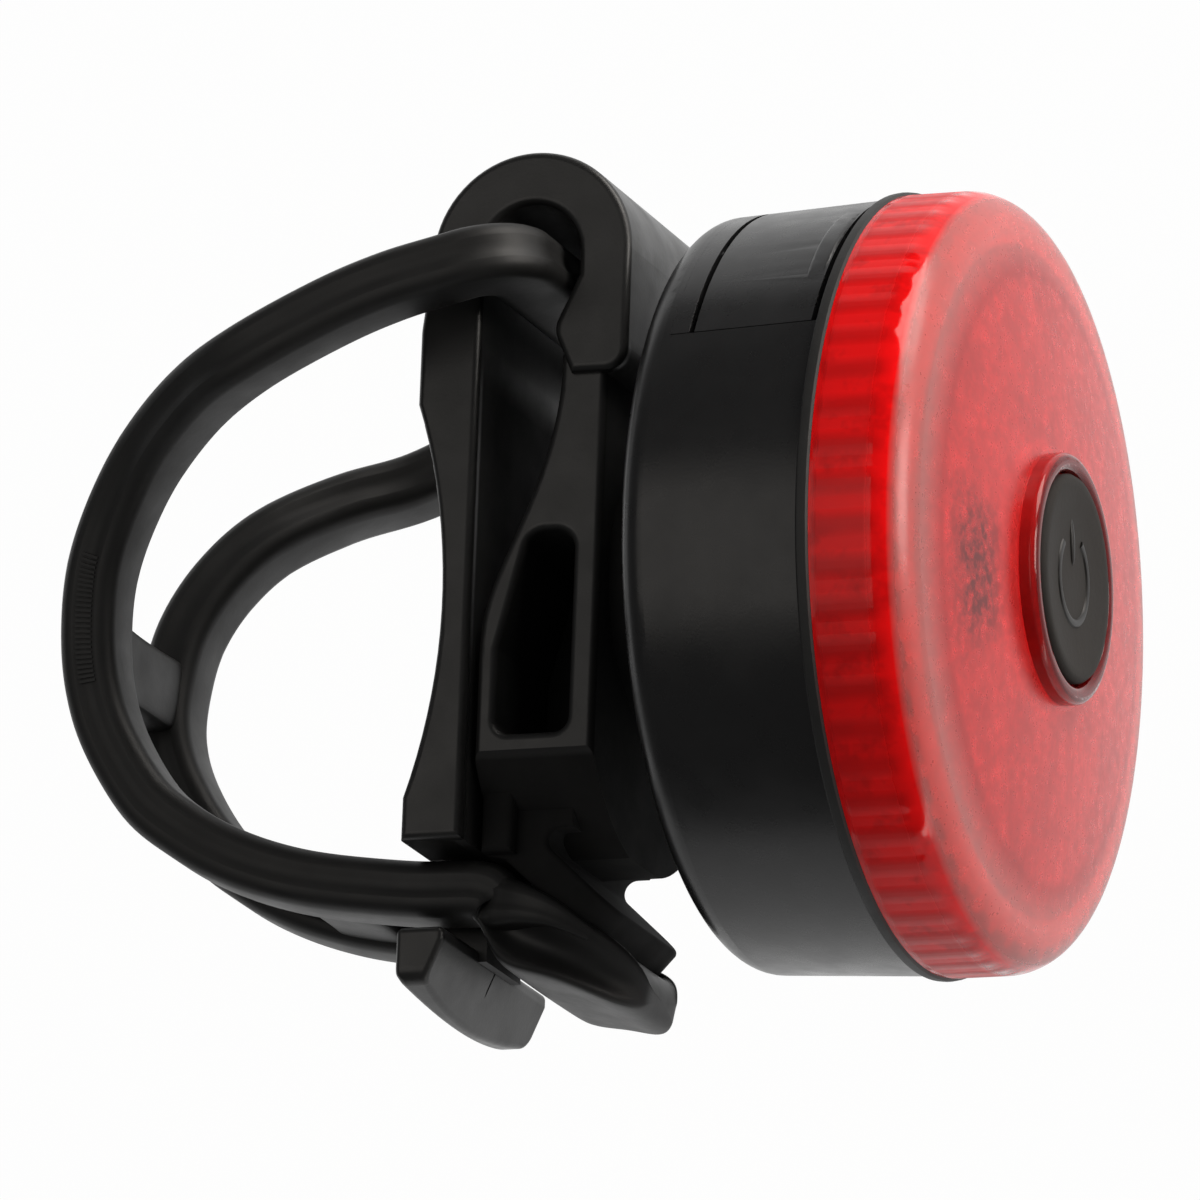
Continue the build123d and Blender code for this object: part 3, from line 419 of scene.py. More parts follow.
def clear_red(name, colour, haze):
    """Clear red plastic: ribbed round its wall, hazy over its face, open to the lamps' light."""
    wall_roughness, face_roughness = 0.06, 0.26
    wall_clearness, face_clearness = 0.22, 0.5
    shadow_tint = (0.95, 0.2, 0.2, 1)
    made = Surface(name, colour, wall_roughness, IOR=ACRYLIC_IOR, Specular_IOR_Level=0.16)
    radius, height, angle = lens_places(made)
    face = made.rise(height, FACE_START)
    ring = made.fall(radius, RING_EDGE)
    hazy = made.times(face, made.math("SUBTRACT", 1.0, ring))
    ribbed = made.times(made.rise(height, RIB_FOOT), made.fall(height, RIB_HEAD))
    wave = made.math("COSINE", made.times(angle, LENS_RIB_COUNT))
    ribs = made.times(made.spread(wave, 0, 1, -0.6, 0.9), ribbed)
    blots = made.noise(420, 3, 0.7)
    speckle = made.noise(1500, 3, 0.7)
    wall = lens_wall(made, colour, ribs, ring, blots)
    made.mottle(hazy, wall, lens_mist(made, haze, (radius, angle), blots, speckle))
    clearness = made.spread(hazy, wall_clearness, face_clearness, 0, 1)
    made.feed(made.shader, "Transmission Weight", clearness)
    dull_wall = made.times(made.fall(height, DULL_WALL_END, 0.3), ribbed)
    dullness = made.math("ADD", made.spread(hazy, wall_roughness, face_roughness, 0, 1), dull_wall)
    made.rough(made.math("ADD", dullness, made.spread(speckle, 0, 0.06)))
    made.bump(ribs, 0.05 * MM)
    made.bump(made.noise(260, 4, 0.6), 0.015 * MM, 0.3)
    shadow_ray = made.node("ShaderNodeLightPath").outputs["Is Shadow Ray"]
    made.give_way(made.node("ShaderNodeBsdfTransparent", Color=shadow_tint), shadow_ray)
    return made.material


def pebbled(name, colour):
    """Moulded disc covered with small round pebbles."""
    made = Surface(name, colour, 0.25, Transmission_Weight=0.5, IOR=ACRYLIC_IOR)
    pebbles = made.cells(1500)
    made.mottle(made.spread(pebbles, 0, 1, 0.1, 0.6), colour, shade(colour, 0.55))
    made.bump(pebbles, 0.06 * MM, 0.4)
    return made.material


def circuit_board(name):
    """White solder mask with copper tracks just seen under it."""
    made = Surface(name, (0.78, 0.77, 0.74), 0.4)
    tracks = made.cells(420, "DISTANCE_TO_EDGE")
    made.mottle(made.spread(tracks, 0, 1, 0.02, 0.05), (0.5, 0.52, 0.44), (0.8, 0.79, 0.76))
    made.bump(made.spread(tracks, 0, 1, 0.0, 0.06), 0.03 * MM)
    return made.material


def led_case(name):
    """White plastic case, mottled with yellow phosphor."""
    made = Surface(name, (0.85, 0.82, 0.7), 0.3)
    made.mottle(made.noise(900, 2), (0.9, 0.88, 0.8), (0.85, 0.72, 0.3))
    made.bump(made.noise(3000), 0.01 * MM)
    return made.material


def metal(name, colour, stretch, low=0.25, high=0.42):
    """Plated or brushed metal with fine drawn lines."""
    made = Surface(name, colour, low, Metallic=1.0)
    lines = made.noise(60, 4, where=made.stretched(stretch))
    made.mottle(lines, shade(colour, 0.85), shade(colour, 1.1))
    made.rough(made.spread(lines, low, high))
    made.bump(lines, 0.01 * MM)
    return made.material


def plain_grained(name, colour, roughness, scale, depth):
    """Small inner parts: a matte moulded surface with grain."""
    made = Surface(name, colour, roughness)
    grain = made.noise(scale, 3)
    made.mottle(grain, shade(colour, 0.8), shade(colour, 1.25))
    made.rough(made.spread(grain, roughness * 0.85, min(1.0, roughness * 1.2)))
    made.bump(grain, depth)
    return made.material


def foam(name, colour):
    """Open-cell foam, with painted shade darkening its pores."""
    made = Surface(name, colour, 0.95)
    pores = made.cells(3200)
    made.mottle(pores, shade(colour, 0.4), shade(colour, 1.5))
    made.bump(pores, 0.2 * MM)
    return made.material


# ---- shared mesh helpers ----


def finished(bm, name, body, material, nodes=(), angle=35):
    """Turns a bmesh into a smooth object that rides on a body and stands for some CAD nodes."""
    mesh = bpy.data.meshes.new(name)
    bm.to_mesh(mesh)
    bm.free()
    for face in mesh.polygons:
        face.use_smooth = True
    mesh.set_sharp_from_angle(angle=radians(angle))
    mesh.materials.append(material)
    made = bpy.data.objects.new(name, mesh)
    bpy.context.scene.collection.objects.link(made)
    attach(made, body)
    if nodes:
        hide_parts(*nodes)
    return made


def round_edges(made, width):
    """Adds a bevel to a piece's sharp edges."""
    bevel = made.modifiers.new("Rounded edges", "BEVEL")
    bevel.width = width
    bevel.segments = 2
    bevel.limit_method = "ANGLE"
    bevel.angle_limit = radians(30)
    bevel.harden_normals = True


def smooth(made):
    """Adds a subdivision surface with the same level everywhere."""
    surface = made.modifiers.new("Smooth", "SUBSURF")
    surface.levels = surface.render_levels = 2


def closed_outline(bm, points):
    """A loop of vertices and edges through some points."""
    verts = [bm.verts.new(point) for point in points]
    for index, vert in enumerate(verts):
        bm.edges.new((vert, verts[(index + 1) % len(verts)]))
    return verts


def outline_edges(verts):
    """The edges of a loop that hasn't been joined to anything yet."""
    return list({edge for vert in verts for edge in vert.link_edges})


def merge(bm):
    """Joins the vertices that lie on each other."""
    bmesh.ops.remove_doubles(bm, verts=bm.verts[:], dist=SAME_POINT)


def face_outwards(bm):
    """Turns every face outwards."""
    bmesh.ops.recalc_face_normals(bm, faces=bm.faces[:])


def turned(points, steps, turn=2 * pi, start=0.0):
    """A shape spun about the lamp's axis from an outline of radius and height in millimetres."""
    bm = bmesh.new()
    closed_outline(bm, [lamp_point(radius, height, start) for radius, height in points])
    full = turn == 2 * pi
    if not full:
        bm.faces.new(bm.verts)
    bmesh.ops.spin(
        bm, geom=bm.verts[:] + bm.edges[:] + bm.faces[:], cent=(LAMP_X, 0, 0), axis=(0, -1, 0),
        angle=turn, steps=steps, use_merge=full, use_duplicate=False,
    )
    merge(bm)
    face_outwards(bm)
    return bm


def copied(node):
    """A CAD node's mesh as a bmesh with its doubles merged and its flat faces joined."""
    bm = bmesh.new()
    bm.from_mesh(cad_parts[node].data)
    merge(bm)
    bmesh.ops.dissolve_limit(
        bm, angle_limit=radians(1), use_dissolve_boundaries=False, verts=bm.verts[:],
        edges=bm.edges[:],
    )
    return bm


def dress(material, *nodes):
    """Gives some CAD nodes a material."""
    for node in nodes:
        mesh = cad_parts[node].data
        mesh.materials.clear()
        mesh.materials.append(material)


# ---- operators ----


class REARLIGHT_OT_housing(Operator):
    """Dress the moulded cup."""

    bl_idname = "rear_light.housing"
    bl_label = "Dress housing"

    def execute(self, context):
        finish = context.scene.rear_light_lamp
        plastic = moulded_plastic("Housing plastic", finish.housing_black, 0.24, 0.34, 0.004 * MM)
        dress(plastic, "rear_housing")
        return {"FINISHED"}


class REARLIGHT_OT_lens(Operator):
    """Dress the red lens and the pebbled disc behind its face."""

    bl_idname = "rear_light.lens"
    bl_label = "Dress lens"

    def execute(self, context):
        finish = context.scene.rear_light_lamp
        dress(clear_red("Clear red", finish.lens_red, finish.haze_red), "lens")
        dress(pebbled("Pebbled disc", finish.disc_red), "inner_lens")
        return {"FINISHED"}


class REARLIGHT_OT_seal(Operator):
    """Make the rubber ring in the seam."""

    bl_idname = "rear_light.seal"
    bl_label = "Make seal"

    # Radius and height of the ring's outline, in millimetres.
    outline = (
        (18.45, 9.9), (20.12, 9.9), (20.27, 10.02), (20.3, 10.25), (20.27, 10.48), (20.12, 10.6),
        (18.45, 10.6),
    )

    def execute(self, context):
        rubber = soft_rubber("Seal rubber", (0.012, 0.012, 0.012), 0.45, 0.6, 0.01 * MM)
        finished(
            turned(self.outline, 160), "Seam_seal", "lamp", rubber, ("lens_seal",)
        )
        return {"FINISHED"}


class REARLIGHT_OT_button(Operator):
    """Make the rubber button with its plain power mark."""

    bl_idname = "rear_light.button"
    bl_label = "Make button"

    # The mark's ring: its radius and bead in millimetres, its gap and turn in degrees.
    mark_radius = 2.3
    bead_half_width = 0.24
    bead_half_height = 0.16
    ring_sunk = 0.3
    mark_gap = 76
    mark_turn = -12
    # The mark's bar: its middle and depth in millimetres, how far its bead is stretched.
    bar_middle = 1.9
    bar_sunk = 0.28
    bar_stretch = (5.2, 0.7, 1, 1)

    def execute(self, context):
        finish = context.scene.rear_light_lamp
        rubber = soft_rubber("Button rubber", finish.button_black, 0.75, 0.88, 0.015 * MM)
        face = (BACK_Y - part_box("power_button")[0].y) / MM
        cap = turned(self.outline(face), 96)
        finished(cap, "Button_cap", "button", rubber, ("power_button",), 50)
        mark = soft_rubber("Power mark", shade(finish.button_black, 0.55), 0.35, 0.45, 0.008 * MM)
        for bm, name in ((self.arc(face), "Power_mark_arc"), (self.bar(face), "Power_mark_bar")):
            turn = Matrix.Rotation(radians(self.mark_turn), 3, "Y")
            bmesh.ops.rotate(bm, cent=(LAMP_X, 0, 0), matrix=turn, verts=bm.verts[:])
            finished(bm, name, "button", mark, angle=40)
        return {"FINISHED"}

    def outline(self, face):
        """Radius and height of the cap's outline: dished face, side, flange, hollow and stem."""
        dish = (
            (0, face - 0.3), (2.4, face - 0.27), (3.9, face - 0.16), (4.7, face - 0.02),
            (5.05, face), (5.25, face - 0.06), (5.4, face - 0.3),
        )
        flange = ((5.4, 14.3), (6.6, 14.3), (6.6, 13.6), (4.4, 13.6))
        return dish + flange + ((4.4, face - 1), (1.5, face - 1), (1.5, 12.2), (0, 12.2))

    def arc(self, face):
        """The open ring of the mark, a low round bead."""
        turns = [i * pi / 4 for i in range(8)]
        across = [self.mark_radius + self.bead_half_width * cos(turn) for turn in turns]
        middle = face - self.ring_sunk
        heights = [middle + self.bead_half_height * sin(turn) for turn in turns]
        gap = radians(self.mark_gap)
        return turned(tuple(zip(across, heights)), 40, 2 * pi - gap, gap / 2)

    def bar(self, face):
        """The short bar in the ring's gap."""
        bm = bmesh.new()
        bmesh.ops.create_uvsphere(
            bm, u_segments=16, v_segments=10, radius=self.bead_half_width * MM
        )
        bmesh.ops.transform(bm, matrix=Matrix.Diagonal(self.bar_stretch), verts=bm.verts[:])
        middle = lamp_point(self.bar_middle, face - self.bar_sunk)
        bmesh.ops.translate(bm, vec=middle, verts=bm.verts[:])
        return bm


class REARLIGHT_OT_port_cover(Operator):
    """Make the rubber cover of the charging socket and the strip that holds it."""

    bl_idname = "rear_light.port_cover"
    bl_label = "Make port cover"

    # The cover's sides: outside this radius in millimetres, this many degrees round from the port.
    outer_radius = 18.2
    side_turn = 20.3
    port_place = 41
    clearance_turn = 0.72

    def execute(self, context):
        rubber = moulded_plastic("Cover rubber", (0.009, 0.009, 0.0095), 0.24, 0.34, 0.004 * MM)
        for node, body, name in (
            ("port_cover", "port_cover", "Port_cover_flap"),
            ("port_cover_root", "lamp", "Port_cover_root"),
        ):
            bm = copied(node)
            self.widen(bm)
            round_edges(finished(bm, name, body, rubber, (node,)), 0.06 * MM)
        return {"FINISHED"}

    def widen(self, bm):
        """Brings the two sides out to the recess, which they just touch when the cover is shut."""
        outer = [vert for vert in bm.verts if self.from_axis(vert.co) > self.outer_radius * MM]
        for way in (-1, 1):
            side = [v for v in outer if way * self.from_port(v.co) > radians(self.side_turn)]
            turn = Matrix.Rotation(-way * radians(self.clearance_turn), 3, "Y")
            bmesh.ops.rotate(bm, cent=(LAMP_X, 0, 0), matrix=turn, verts=side)

    def from_axis(self, point):
        """Distance of a point from the lamp's axis."""
        return sqrt((point.x - LAMP_X) ** 2 + point.z**2)

    def from_port(self, point):
        """Angle of a point round the axis, from the charging port."""
        return atan2(point.z, point.x - LAMP_X) - radians(self.port_place)


class REARLIGHT_OT_bracket(Operator):
    """Dress the clip bracket."""

    bl_idname = "rear_light.bracket"
    bl_label = "Dress bracket"

    def execute(self, context):
        finish = context.scene.rear_light_band
        plastic = moulded_plastic(
            "Bracket plastic", finish.bracket_black, 0.3, 0.42, 0.005 * MM, clip_shade_and_dull_mask
        )
        dress(plastic, "clip_bracket")
        return {"FINISHED"}


class REARLIGHT_OT_strap(Operator):
    """Make the rubber ladder strap with its grooves, grip ribs, cross bars and finger tab."""

    bl_idname = "rear_light.strap"
    bl_label = "Make strap"

    # Start of the strap in the eyelet, half its spread and its corners' bend, in millimetres.
    bar_reach = 9.0
    bar_height = 15.3
    half_spread = 12.8
    bend = 2.6
    # A rail's section: its rounded corners, and half the groove's width at its edge and floor.
    corner = 0.85 * MM
    corner_steps = 4
    groove_edge = 0.6 * MM
    groove_floor = 0.28 * MM
    # Cross bars: their places as shares of the rail's length, size, waist and rounding.
    bar_shares = {"Upper_cross_bar": 0.525, "Lower_cross_bar": 0.85}
    bar_width = 4.4 * MM
    bar_thickness = 2.3 * MM
    waist = (0.9, 0.85, 1)
    waist_reach = 0.6
    bar_rounding = 0.5 * MM
    # Grip ribs: their run as shares of the rail's length, size and depth in the rail's side.
    rib_start = 0.44
    rib_run = 0.115
    rib_size = (0.14 * MM, 0.5 * MM, 0.9 * MM)
    rib_inset = 0.24 * MM

    def execute(self, context):
        self.band = context.scene.rear_light_band
        rubber = soft_rubber("Strap rubber", self.band.rubber_black, 0.42, 0.56, 0.005 * MM)
        stations = self.stations()
        rails = self.rails(stations)
        finished(rails, "Strap_rails", "lamp", rubber, ("strap",), 40)
        shares = self.shares(stations)
        for name, share in self.bar_shares.items():
            smooth(finished(self.cross_bar(shares, share), name, "lamp", rubber))
        finished(self.ribs(shares), "Grip_ribs", "lamp", rubber)
        smooth(finished(finger_tab(), "Finger_tab", "lamp", rubber, angle=60))
        return {"FINISHED"}

    def stations(self):
        """Frames along one half of the strap: place, direction across and direction through."""
        start = side_point(self.bar_reach, self.bar_height, 0)
        first = side_point(*RAIL_ROUTE[0][:2], 0)
        along, up = (first - start).normalized(), Vector((0, 0, 1))
        straight = (self.half_spread - self.bend) * MM
        through = -along.cross(up)
        frames = [
            (start + up * straight * step / STRAIGHT_STEPS, along, through)
            for step in range(STRAIGHT_STEPS + 1)
        ]
        centre = start + up * straight + along * self.bend * MM
        for step in range(1, BEND_STEPS + 1):
            turn = pi / 2 * step / BEND_STEPS
            out = along * cos(turn) - up * sin(turn)
            frames.append((centre - out * self.bend * MM, out, through))
        knots = [centre + up * self.bend * MM] + [side_point(*row) for row in RAIL_ROUTE]
        return frames + self.rail_frames(knots + [rim_place(*row) for row in RIM_ROUTE], along)

    def rail_frames(self, knots, first_way):
        """Frames along the rail through its knots."""
        up = Vector((0, 0, 1))
        last = len(knots) - 1
        ways = [(knots[min(i + 1, last)] - knots[max(i - 1, 0)]) / 2 for i in range(last + 1)]
        ways[0] = first_way * (knots[1] - knots[0]).length
        frames = []
        for index in range(last):
            points = interpolate_bezier(
                knots[index], knots[index] + ways[index] / 3,
                knots[index + 1] - ways[index + 1] / 3, knots[index + 1], KNOT_STEPS + 1,
            )
            for step in range(1, KNOT_STEPS + 1):
                way = (points[min(step + 1, KNOT_STEPS)] - points[step - 1]).normalized()
                across = -(up - way * up.dot(way)).normalized()
                frames.append((points[step], across, way.cross(across)))
        return frames

    def section(self):
        """The rail's outline: rounded corners and a groove along each side."""
        half_width, half_thick = self.band.rail_width / 2, self.band.rail_thickness / 2
        depth = self.band.groove_depth
        quarter = [
            (half_width - depth, 0), (half_width - 0.8 * depth, self.groove_floor),
            (half_width, self.groove_edge),
        ]
        for step in range(self.corner_steps + 1):
            turn = pi / 2 * step / self.corner_steps
            quarter.append((
                half_width - self.corner + self.corner * cos(turn),
                half_thick - self.corner + self.corner * sin(turn),
            ))
        quarter.append((0, half_thick))
        right = quarter + [(-x, y) for x, y in reversed(quarter[:-1])]
        return right + [(x, -y) for x, y in reversed(right[1:-1])]

    def rails(self, stations):
        """Both rails and the bar between them, extruded from frame to frame and mirrored."""
        bm = bmesh.new()
        point, across, through = stations[0]
        closed_outline(bm, [point + across * u + through * v for u, v in self.section()])
        edges = bm.edges[:]
        before = frame_matrix(*stations[0])
        rim_start = len(stations) - KNOT_STEPS * len(RIM_ROUTE)
        for index, station in enumerate(stations[1:], 1):
            now = frame_matrix(*station) @ self.rim_size((index - rim_start) / KNOT_STEPS)
            grown = bmesh.ops.extrude_edge_only(bm, edges=edges)["geom"]
            edges = [e for e in grown if isinstance(e, bmesh.types.BMEdge) and e.is_boundary]
            verts = [v for v in grown if isinstance(v, bmesh.types.BMVert)]
            bmesh.ops.transform(bm, matrix=now @ before.inverted(), verts=verts)
            before = now
        bmesh.ops.contextual_create(bm, geom=edges)
        bmesh.ops.mirror(
            bm, geom=bm.verts[:] + bm.edges[:] + bm.faces[:], axis="Z", merge_dist=SAME_POINT
        )
        merge(bm)
        face_outwards(bm)
        return bm

    def rim_size(self, step):
        """How much of its width and thickness a rail keeps where it runs on along the tab."""
        full = (self.band.rail_width / MM, self.band.rail_thickness / MM)
        rows = [full] + [row[2:] for row in RIM_ROUTE]
        step = min(max(step, 0.0), len(rows) - 1.001)
        row, part = int(step), step - int(step)
        sizes = zip(rows[row], rows[row + 1], full)
        across, through = ((a * (1 - part) + b * part) / whole for a, b, whole in sizes)
        return Matrix.Diagonal((across, through, 1, 1))

    def shares(self, stations):
        """The rail's frames from its corner to the tab, each with its share of the length."""
        rail = stations[STRAIGHT_STEPS + BEND_STEPS : len(stations) - KNOT_STEPS * len(RIM_ROUTE)]
        lengths = [0.0]
        for before, after in zip(rail, rail[1:]):
            lengths.append(lengths[-1] + (after[0] - before[0]).length)
        return [(length / lengths[-1], station) for length, station in zip(lengths, rail)]

    def cross_bar(self, shares, share):
        """A bar between the rails, waisted in its middle."""
        point, across, through = min(shares, key=lambda row: abs(row[0] - share))[1]
        way = across.cross(through)
        flat = Vector((way.x, way.y, 0)).normalized()
        out = Vector((0, 0, 1)).cross(flat)
        half_length = abs(point.z)
        bm = bmesh.new()
        bmesh.ops.create_cube(bm, size=1)
        size = (self.bar_width, self.bar_thickness, 2 * half_length)
        bmesh.ops.scale(bm, vec=size, verts=bm.verts[:])
        bmesh.ops.subdivide_edges(bm, edges=long_edges(bm, MM), cuts=3, use_grid_fill=True)
        middle = [vert for vert in bm.verts if abs(vert.co.z) < self.waist_reach * half_length]
        bmesh.ops.scale(bm, vec=self.waist, verts=middle)
        bmesh.ops.bevel(
            bm, geom=long_edges(bm, MM / 2), offset=self.bar_rounding, offset_type="OFFSET",
            segments=2, profile=0.5, affect="EDGES", material=-1,
        )
        turn = Matrix((flat, out, Vector((0, 0, 1)))).transposed().to_4x4()
        centre = Matrix.Translation(Vector((point.x, point.y, 0)))
        bmesh.ops.transform(bm, matrix=centre @ turn, verts=bm.verts[:])
        return bm

    def ribs(self, shares):
        """Fine ribs across the groove on the outer side of both rails."""
        bm = bmesh.new()
        half = self.band.rail_width / 2
        for index in range(self.band.rib_count):
            share = self.rib_start + self.rib_run * index / self.band.rib_count
            point, across, through = self.between(shares, share)
            turn = Matrix((across.cross(through), across, through)).transposed().to_4x4()
            place = Matrix.Translation(point - across * (half - self.rib_inset)) @ turn
            for side in (1, -1):
                rib = bmesh.ops.create_cube(bm, size=1)["verts"]
                bmesh.ops.scale(bm, vec=self.rib_size, verts=rib)
                bmesh.ops.transform(bm, matrix=place, verts=rib)
                bmesh.ops.scale(bm, vec=(1, 1, side), verts=rib)
        face_outwards(bm)
        return bm

    def between(self, shares, share):
        """The frame at a share of the rail's length, worked out between two stations."""
        index = max(i for i, row in enumerate(shares[:-1]) if row[0] <= share)
        (low, before), (high, after) = shares[index], shares[index + 1]
        part = (share - low) / (high - low)
        return tuple(a.lerp(b, part) for a, b in zip(before, after))


def frame_matrix(point, across, through):
    """A station's frame as a matrix."""
    turned_to = Matrix((across, through, across.cross(through))).transposed().to_4x4()
    return Matrix.Translation(point) @ turned_to


def long_edges(bm, least):
    """The edges that reach further than a length up the post."""
    return [edge for edge in bm.edges if abs((edge.verts[0].co - edge.verts[1].co).z) > least]


def tab_share(reach):
    """How wide the tab is at a reach, as a share of its full width."""
    if reach > TAB_ROUND_START:
        return 1.0 - TAB_NECK_LOSS * min(1.0, max(0.0, reach - TAB_NECK_START))
    return sqrt(max(0.05, 1.0 - ((TAB_ROUND_START - reach) / TAB_ROUND_LENGTH) ** 2))


def rim_place(reach, height, width, _thickness):
    """The middle of a rail where it runs on along the tab's side."""
    return side_point(reach, height, RIM_HALF_WIDTH * tab_share(reach) - width / 2)


def finger_tab():
    """The finger tab: scooped at both sides, with a trough on top for the bracket's lip."""
    bm = bmesh.new()
    before = None
    for station, scoop in zip(TAB_STATIONS, SCOOP_SHARES):
        edges = tab_slice(bm, station, scoop)
        if before:
            bmesh.ops.bridge_loops(bm, edges=before + edges)
        else:
            bmesh.ops.contextual_create(bm, geom=edges)
        before = edges
    tip = bmesh.ops.contextual_create(bm, geom=before)["faces"]
    bmesh.ops.inset_region(bm, faces=tip, thickness=0.35 * MM, depth=0.12 * MM)
    face_outwards(bm)
    return bm


def tab_slice(bm, station, scoop):
    """One slice across the tab, from its middle out to each side."""
    top, under = Vector(station[:2]), Vector(station[2:])
    half = TAB_HALF_WIDTH * tab_share(top.x)
    sunk = TROUGH_DEPTH if TROUGH_REACH[0] < top.x < TROUGH_REACH[1] else TROUGH_END_DEPTH
    sunk *= min(1.0, (top - under).length / TAB_THICKNESS)
    points = []
    for across, down in TAB_SECTION:
        if SCOOP_ACROSS[0] < across < SCOOP_ACROSS[1] and SCOOP_DOWN[0] < down < SCOOP_DOWN[1]:
            across += (1 - scoop) * (UNSCOOPED - across)
        place = top.lerp(under, down)
        if down == 0.0 and across < TROUGH_SHARE:
            place.y -= sunk
        points.append((place, across * half))
    near = [side_point(place.x, place.y, across) for place, across in points]
    far = [side_point(place.x, place.y, -across) for place, across in reversed(points[1:-1])]
    return outline_edges(closed_outline(bm, near + far))


class REARLIGHT_OT_inside(Operator):
    """Dress the board, socket, cell, leads and screws inside."""

    bl_idname = "rear_light.inside"
    bl_label = "Dress inside"

    # Plain moulded pieces: material, colour, roughness, grains in a metre and nodes.
    grained = (
        ("Chip epoxy", (0.02, 0.02, 0.022), 0.55, 2600, ("controller_chip",)),
        ("Ceramic parts", (0.3, 0.22, 0.15), 0.45, 2200, ("board_parts",)),
        ("Switch plastic", (0.03, 0.03, 0.03), 0.5, 2400, ("switch_body", "usb_insert")),
        ("Plunger plastic", (0.05, 0.05, 0.05), 0.4, 2400, ("switch_plunger",)),
        ("Red lead", (0.5, 0.02, 0.02), 0.4, 1800, ("battery_lead_red",)),
        ("Black lead", (0.02, 0.02, 0.02), 0.4, 1800, ("battery_lead_black",)),
    )

    def execute(self, context):
        dress(circuit_board("Solder mask"), "led_board")
        dress(led_case("Phosphor case"), "leds", "charge_led")
        for name, colour, roughness, scale, nodes in self.grained:
            dress(plain_grained(name, colour, roughness, scale, 0.01 * MM), *nodes)
        plated = metal("Plated steel", (0.62, 0.62, 0.63), (1, 30, 1))
        dress(plated, "switch_cover", "switch_legs", "usb_shell")
        steel = metal("Screw steel", (0.55, 0.55, 0.56), (20, 1, 20))
        dress(steel, "board_screws", "bracket_screws")
        dress(metal("Cell pouch", (0.7, 0.7, 0.72), (1, 8, 8), 0.35, 0.5), "battery_cell")
        black = foam("Black foam", (0.05, 0.05, 0.05))
        pad = copied("battery_pad")
        round_edges(finished(pad, "Cell_pad", "lamp", black, ("battery_pad",)), 0.15 * MM)
        return {"FINISHED"}


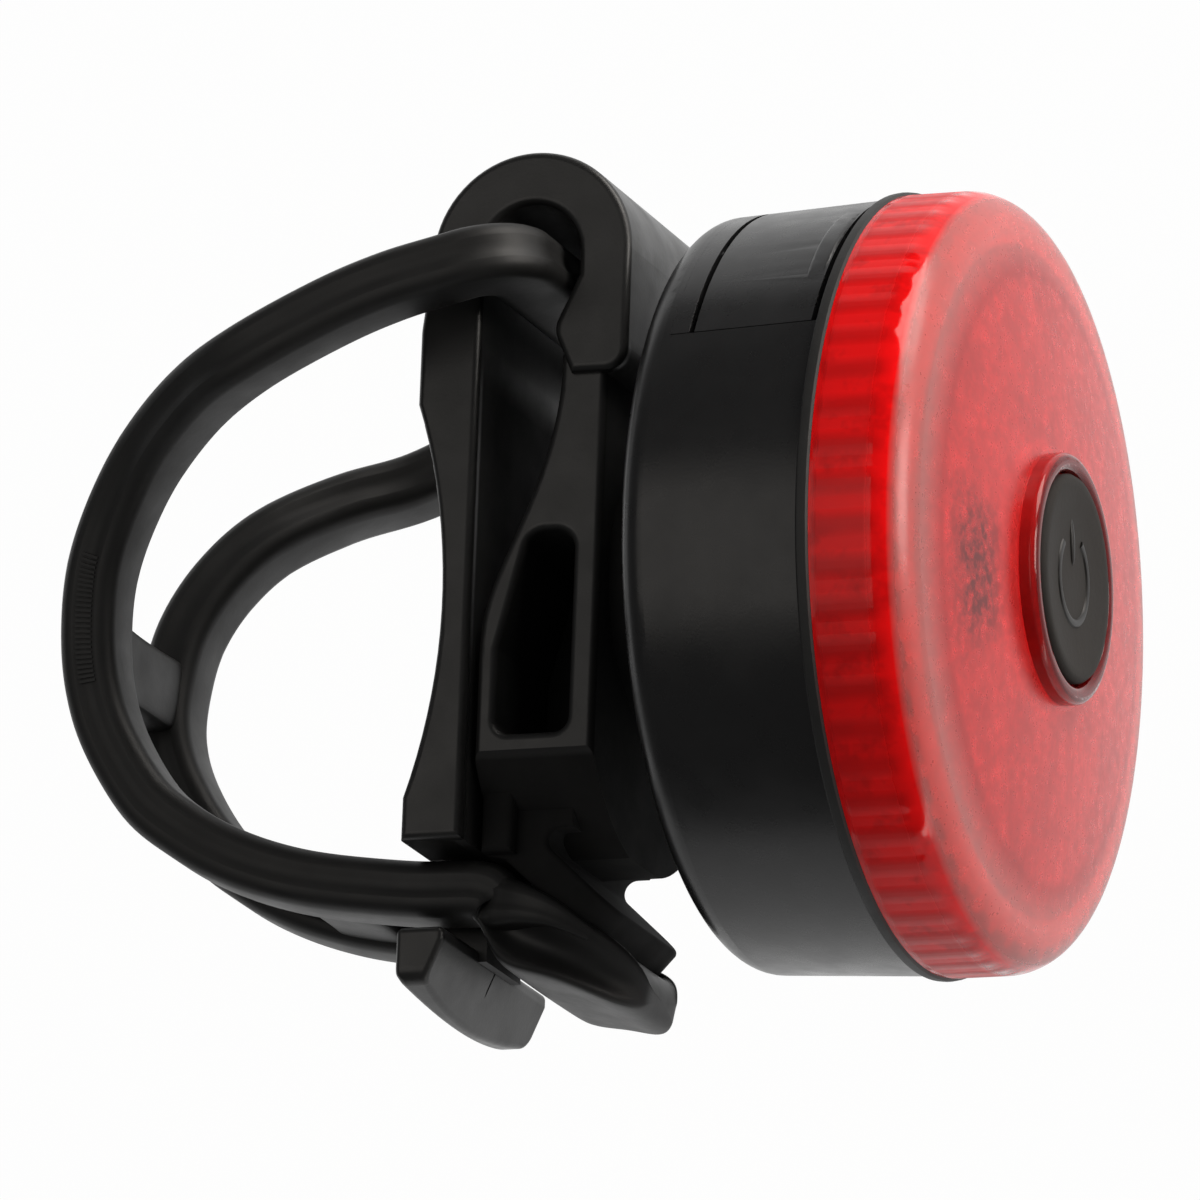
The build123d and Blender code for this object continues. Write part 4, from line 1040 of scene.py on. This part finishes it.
class REARLIGHT_OT_studio(Operator):
    """Set the pale floor, the soft lamps, the surrounding light and the camera."""

    bl_idname = "rear_light.studio"
    bl_label = "Set studio"

    # The camera's directions back and up in the part's frame, and its aim from the datum.
    back = Vector((-0.2591, -0.3356, 0.9057))
    up = Vector((0.9651, -0.0542, 0.256))
    aim_left = 7.307 * MM
    aim_down = 0.351 * MM
    floor_height = -0.075
    floor_half_size = 3
    floor_white = 0.97
    lamp_distance = 0.7
    lamp_colour = (1.0, 0.95, 0.89)

    def execute(self, context):
        settings = context.scene.rear_light_studio
        context.scene.view_settings.view_transform = "Standard"
        self.right = self.up.cross(self.back).normalized()
        self.centre = Vector((SIDE_X, BACK_Y, 0))
        self.make_floor()
        self.make_world(settings)
        self.make_camera(settings)
        for name, (way, size, share) in SOFTBOXES.items():
            self.softbox(name, way, size, settings.softbox_power * share)
        return {"FINISHED"}

    def make_floor(self):
        """A plain pale floor, white to the camera, in reflections and through the lens."""
        bm = bmesh.new()
        bmesh.ops.create_grid(bm, x_segments=1, y_segments=1, size=self.floor_half_size)
        bmesh.ops.translate(bm, vec=(0, 0, self.floor_height), verts=bm.verts[:])
        mesh = bpy.data.meshes.new("Floor")
        bm.to_mesh(mesh)
        bm.free()
        floor = bpy.data.objects.new("Floor", mesh)
        bpy.context.scene.collection.objects.link(floor)
        pale = Surface("Pale floor", (0.86, 0.86, 0.86), 0.7)
        rays = pale.node("ShaderNodeLightPath").outputs
        seen = pale.math("MAXIMUM", rays["Is Camera Ray"], rays["Is Glossy Ray"])
        seen = pale.math("MAXIMUM", seen, rays["Is Transmission Ray"])
        glow = pale.node("ShaderNodeEmission", Color=(1, 1, 1, 1))
        pale.give_way(glow, pale.times(seen, self.floor_white))
        mesh.materials.append(pale.material)

    def make_world(self, settings):
        """An even surrounding light, white behind the object."""
        world = bpy.data.worlds.new("Studio air")
        bpy.context.scene.world = world
        world.use_nodes = True
        tree = world.node_tree
        plain = tree.nodes["Background"]
        plain.inputs["Color"].default_value = (1, 1, 1, 1)
        plain.inputs["Strength"].default_value = settings.sky_level
        white = tree.nodes.new("ShaderNodeBackground")
        white.inputs["Strength"].default_value = 1.0
        path = tree.nodes.new("ShaderNodeLightPath")
        mix = tree.nodes.new("ShaderNodeMixShader")
        tree.links.new(path.outputs["Is Camera Ray"], mix.inputs["Fac"])
        tree.links.new(plain.outputs["Background"], mix.inputs[1])
        tree.links.new(white.outputs["Background"], mix.inputs[2])
        tree.links.new(mix.outputs["Shader"], tree.nodes["World Output"].inputs["Surface"])

    def make_camera(self, settings):
        """The camera at the photograph's angle."""
        data = bpy.data.cameras.new("Camera")
        data.sensor_width = 36
        data.lens = settings.lens_length
        data.clip_start, data.clip_end = 0.01, 20
        camera = bpy.data.objects.new("Camera", data)
        bpy.context.scene.collection.objects.link(camera)
        aim = self.centre - self.right * self.aim_left - self.up * self.aim_down
        turn = Matrix((self.right, self.up, self.back)).transposed().to_4x4()
        camera.matrix_world = Matrix.Translation(aim + self.back * settings.distance) @ turn
        bpy.context.scene.camera = camera

    def softbox(self, name, way, size, power):
        """A square soft lamp, placed by its direction to the camera's right, up and back."""
        data = bpy.data.lights.new(name, "AREA")
        data.size = size
        data.energy = power
        data.color = self.lamp_colour
        lamp = bpy.data.objects.new(name, data)
        bpy.context.scene.collection.objects.link(lamp)
        direction = (self.right * way[0] + self.up * way[1] + self.back * way[2]).normalized()
        lamp.location = self.centre + direction * self.lamp_distance
        lamp.rotation_mode = "QUATERNION"
        lamp.rotation_quaternion = direction.to_track_quat("Z", "Y")


class REARLIGHT_PT_panel(Panel):
    """Shows the light's operators and settings in the sidebar."""

    bl_label = "Rear light"
    bl_idname = "REARLIGHT_PT_panel"
    bl_space_type = "VIEW_3D"
    bl_region_type = "UI"
    bl_category = "Rear light"

    def draw(self, context):
        for operator in OPERATORS:
            self.layout.operator(operator.bl_idname)
        for group in GROUPS:
            settings = getattr(context.scene, group)
            box = self.layout.box()
            for name in settings.__annotations__:
                box.prop(settings, name)


GROUPS = {
    "rear_light_lamp": LampFinish,
    "rear_light_band": BandFinish,
    "rear_light_studio": StudioSettings,
}
OPERATORS = (
    REARLIGHT_OT_housing,
    REARLIGHT_OT_lens,
    REARLIGHT_OT_seal,
    REARLIGHT_OT_button,
    REARLIGHT_OT_port_cover,
    REARLIGHT_OT_bracket,
    REARLIGHT_OT_strap,
    REARLIGHT_OT_inside,
    REARLIGHT_OT_studio,
)


def register():
    """Adds the properties, operators and panel."""
    for name, group in GROUPS.items():
        bpy.utils.register_class(group)
        setattr(bpy.types.Scene, name, PointerProperty(type=group))
    for operator in OPERATORS:
        bpy.utils.register_class(operator)
    bpy.utils.register_class(REARLIGHT_PT_panel)


def unregister():
    """Takes them away again."""
    bpy.utils.unregister_class(REARLIGHT_PT_panel)
    for operator in reversed(OPERATORS):
        bpy.utils.unregister_class(operator)
    for name, group in GROUPS.items():
        delattr(bpy.types.Scene, name)
        bpy.utils.unregister_class(group)


def main():
    """Makes every piece in order."""
    for extra in [o for o in bpy.data.objects if o.type in {"CAMERA", "LIGHT"}]:
        bpy.data.objects.remove(extra)
    register()
    bpy.ops.rear_light.housing()
    bpy.ops.rear_light.lens()
    bpy.ops.rear_light.seal()
    bpy.ops.rear_light.button()
    bpy.ops.rear_light.port_cover()
    bpy.ops.rear_light.bracket()
    bpy.ops.rear_light.strap()
    bpy.ops.rear_light.inside()
    bpy.ops.rear_light.studio()


if __name__ == "__main__":
    main()
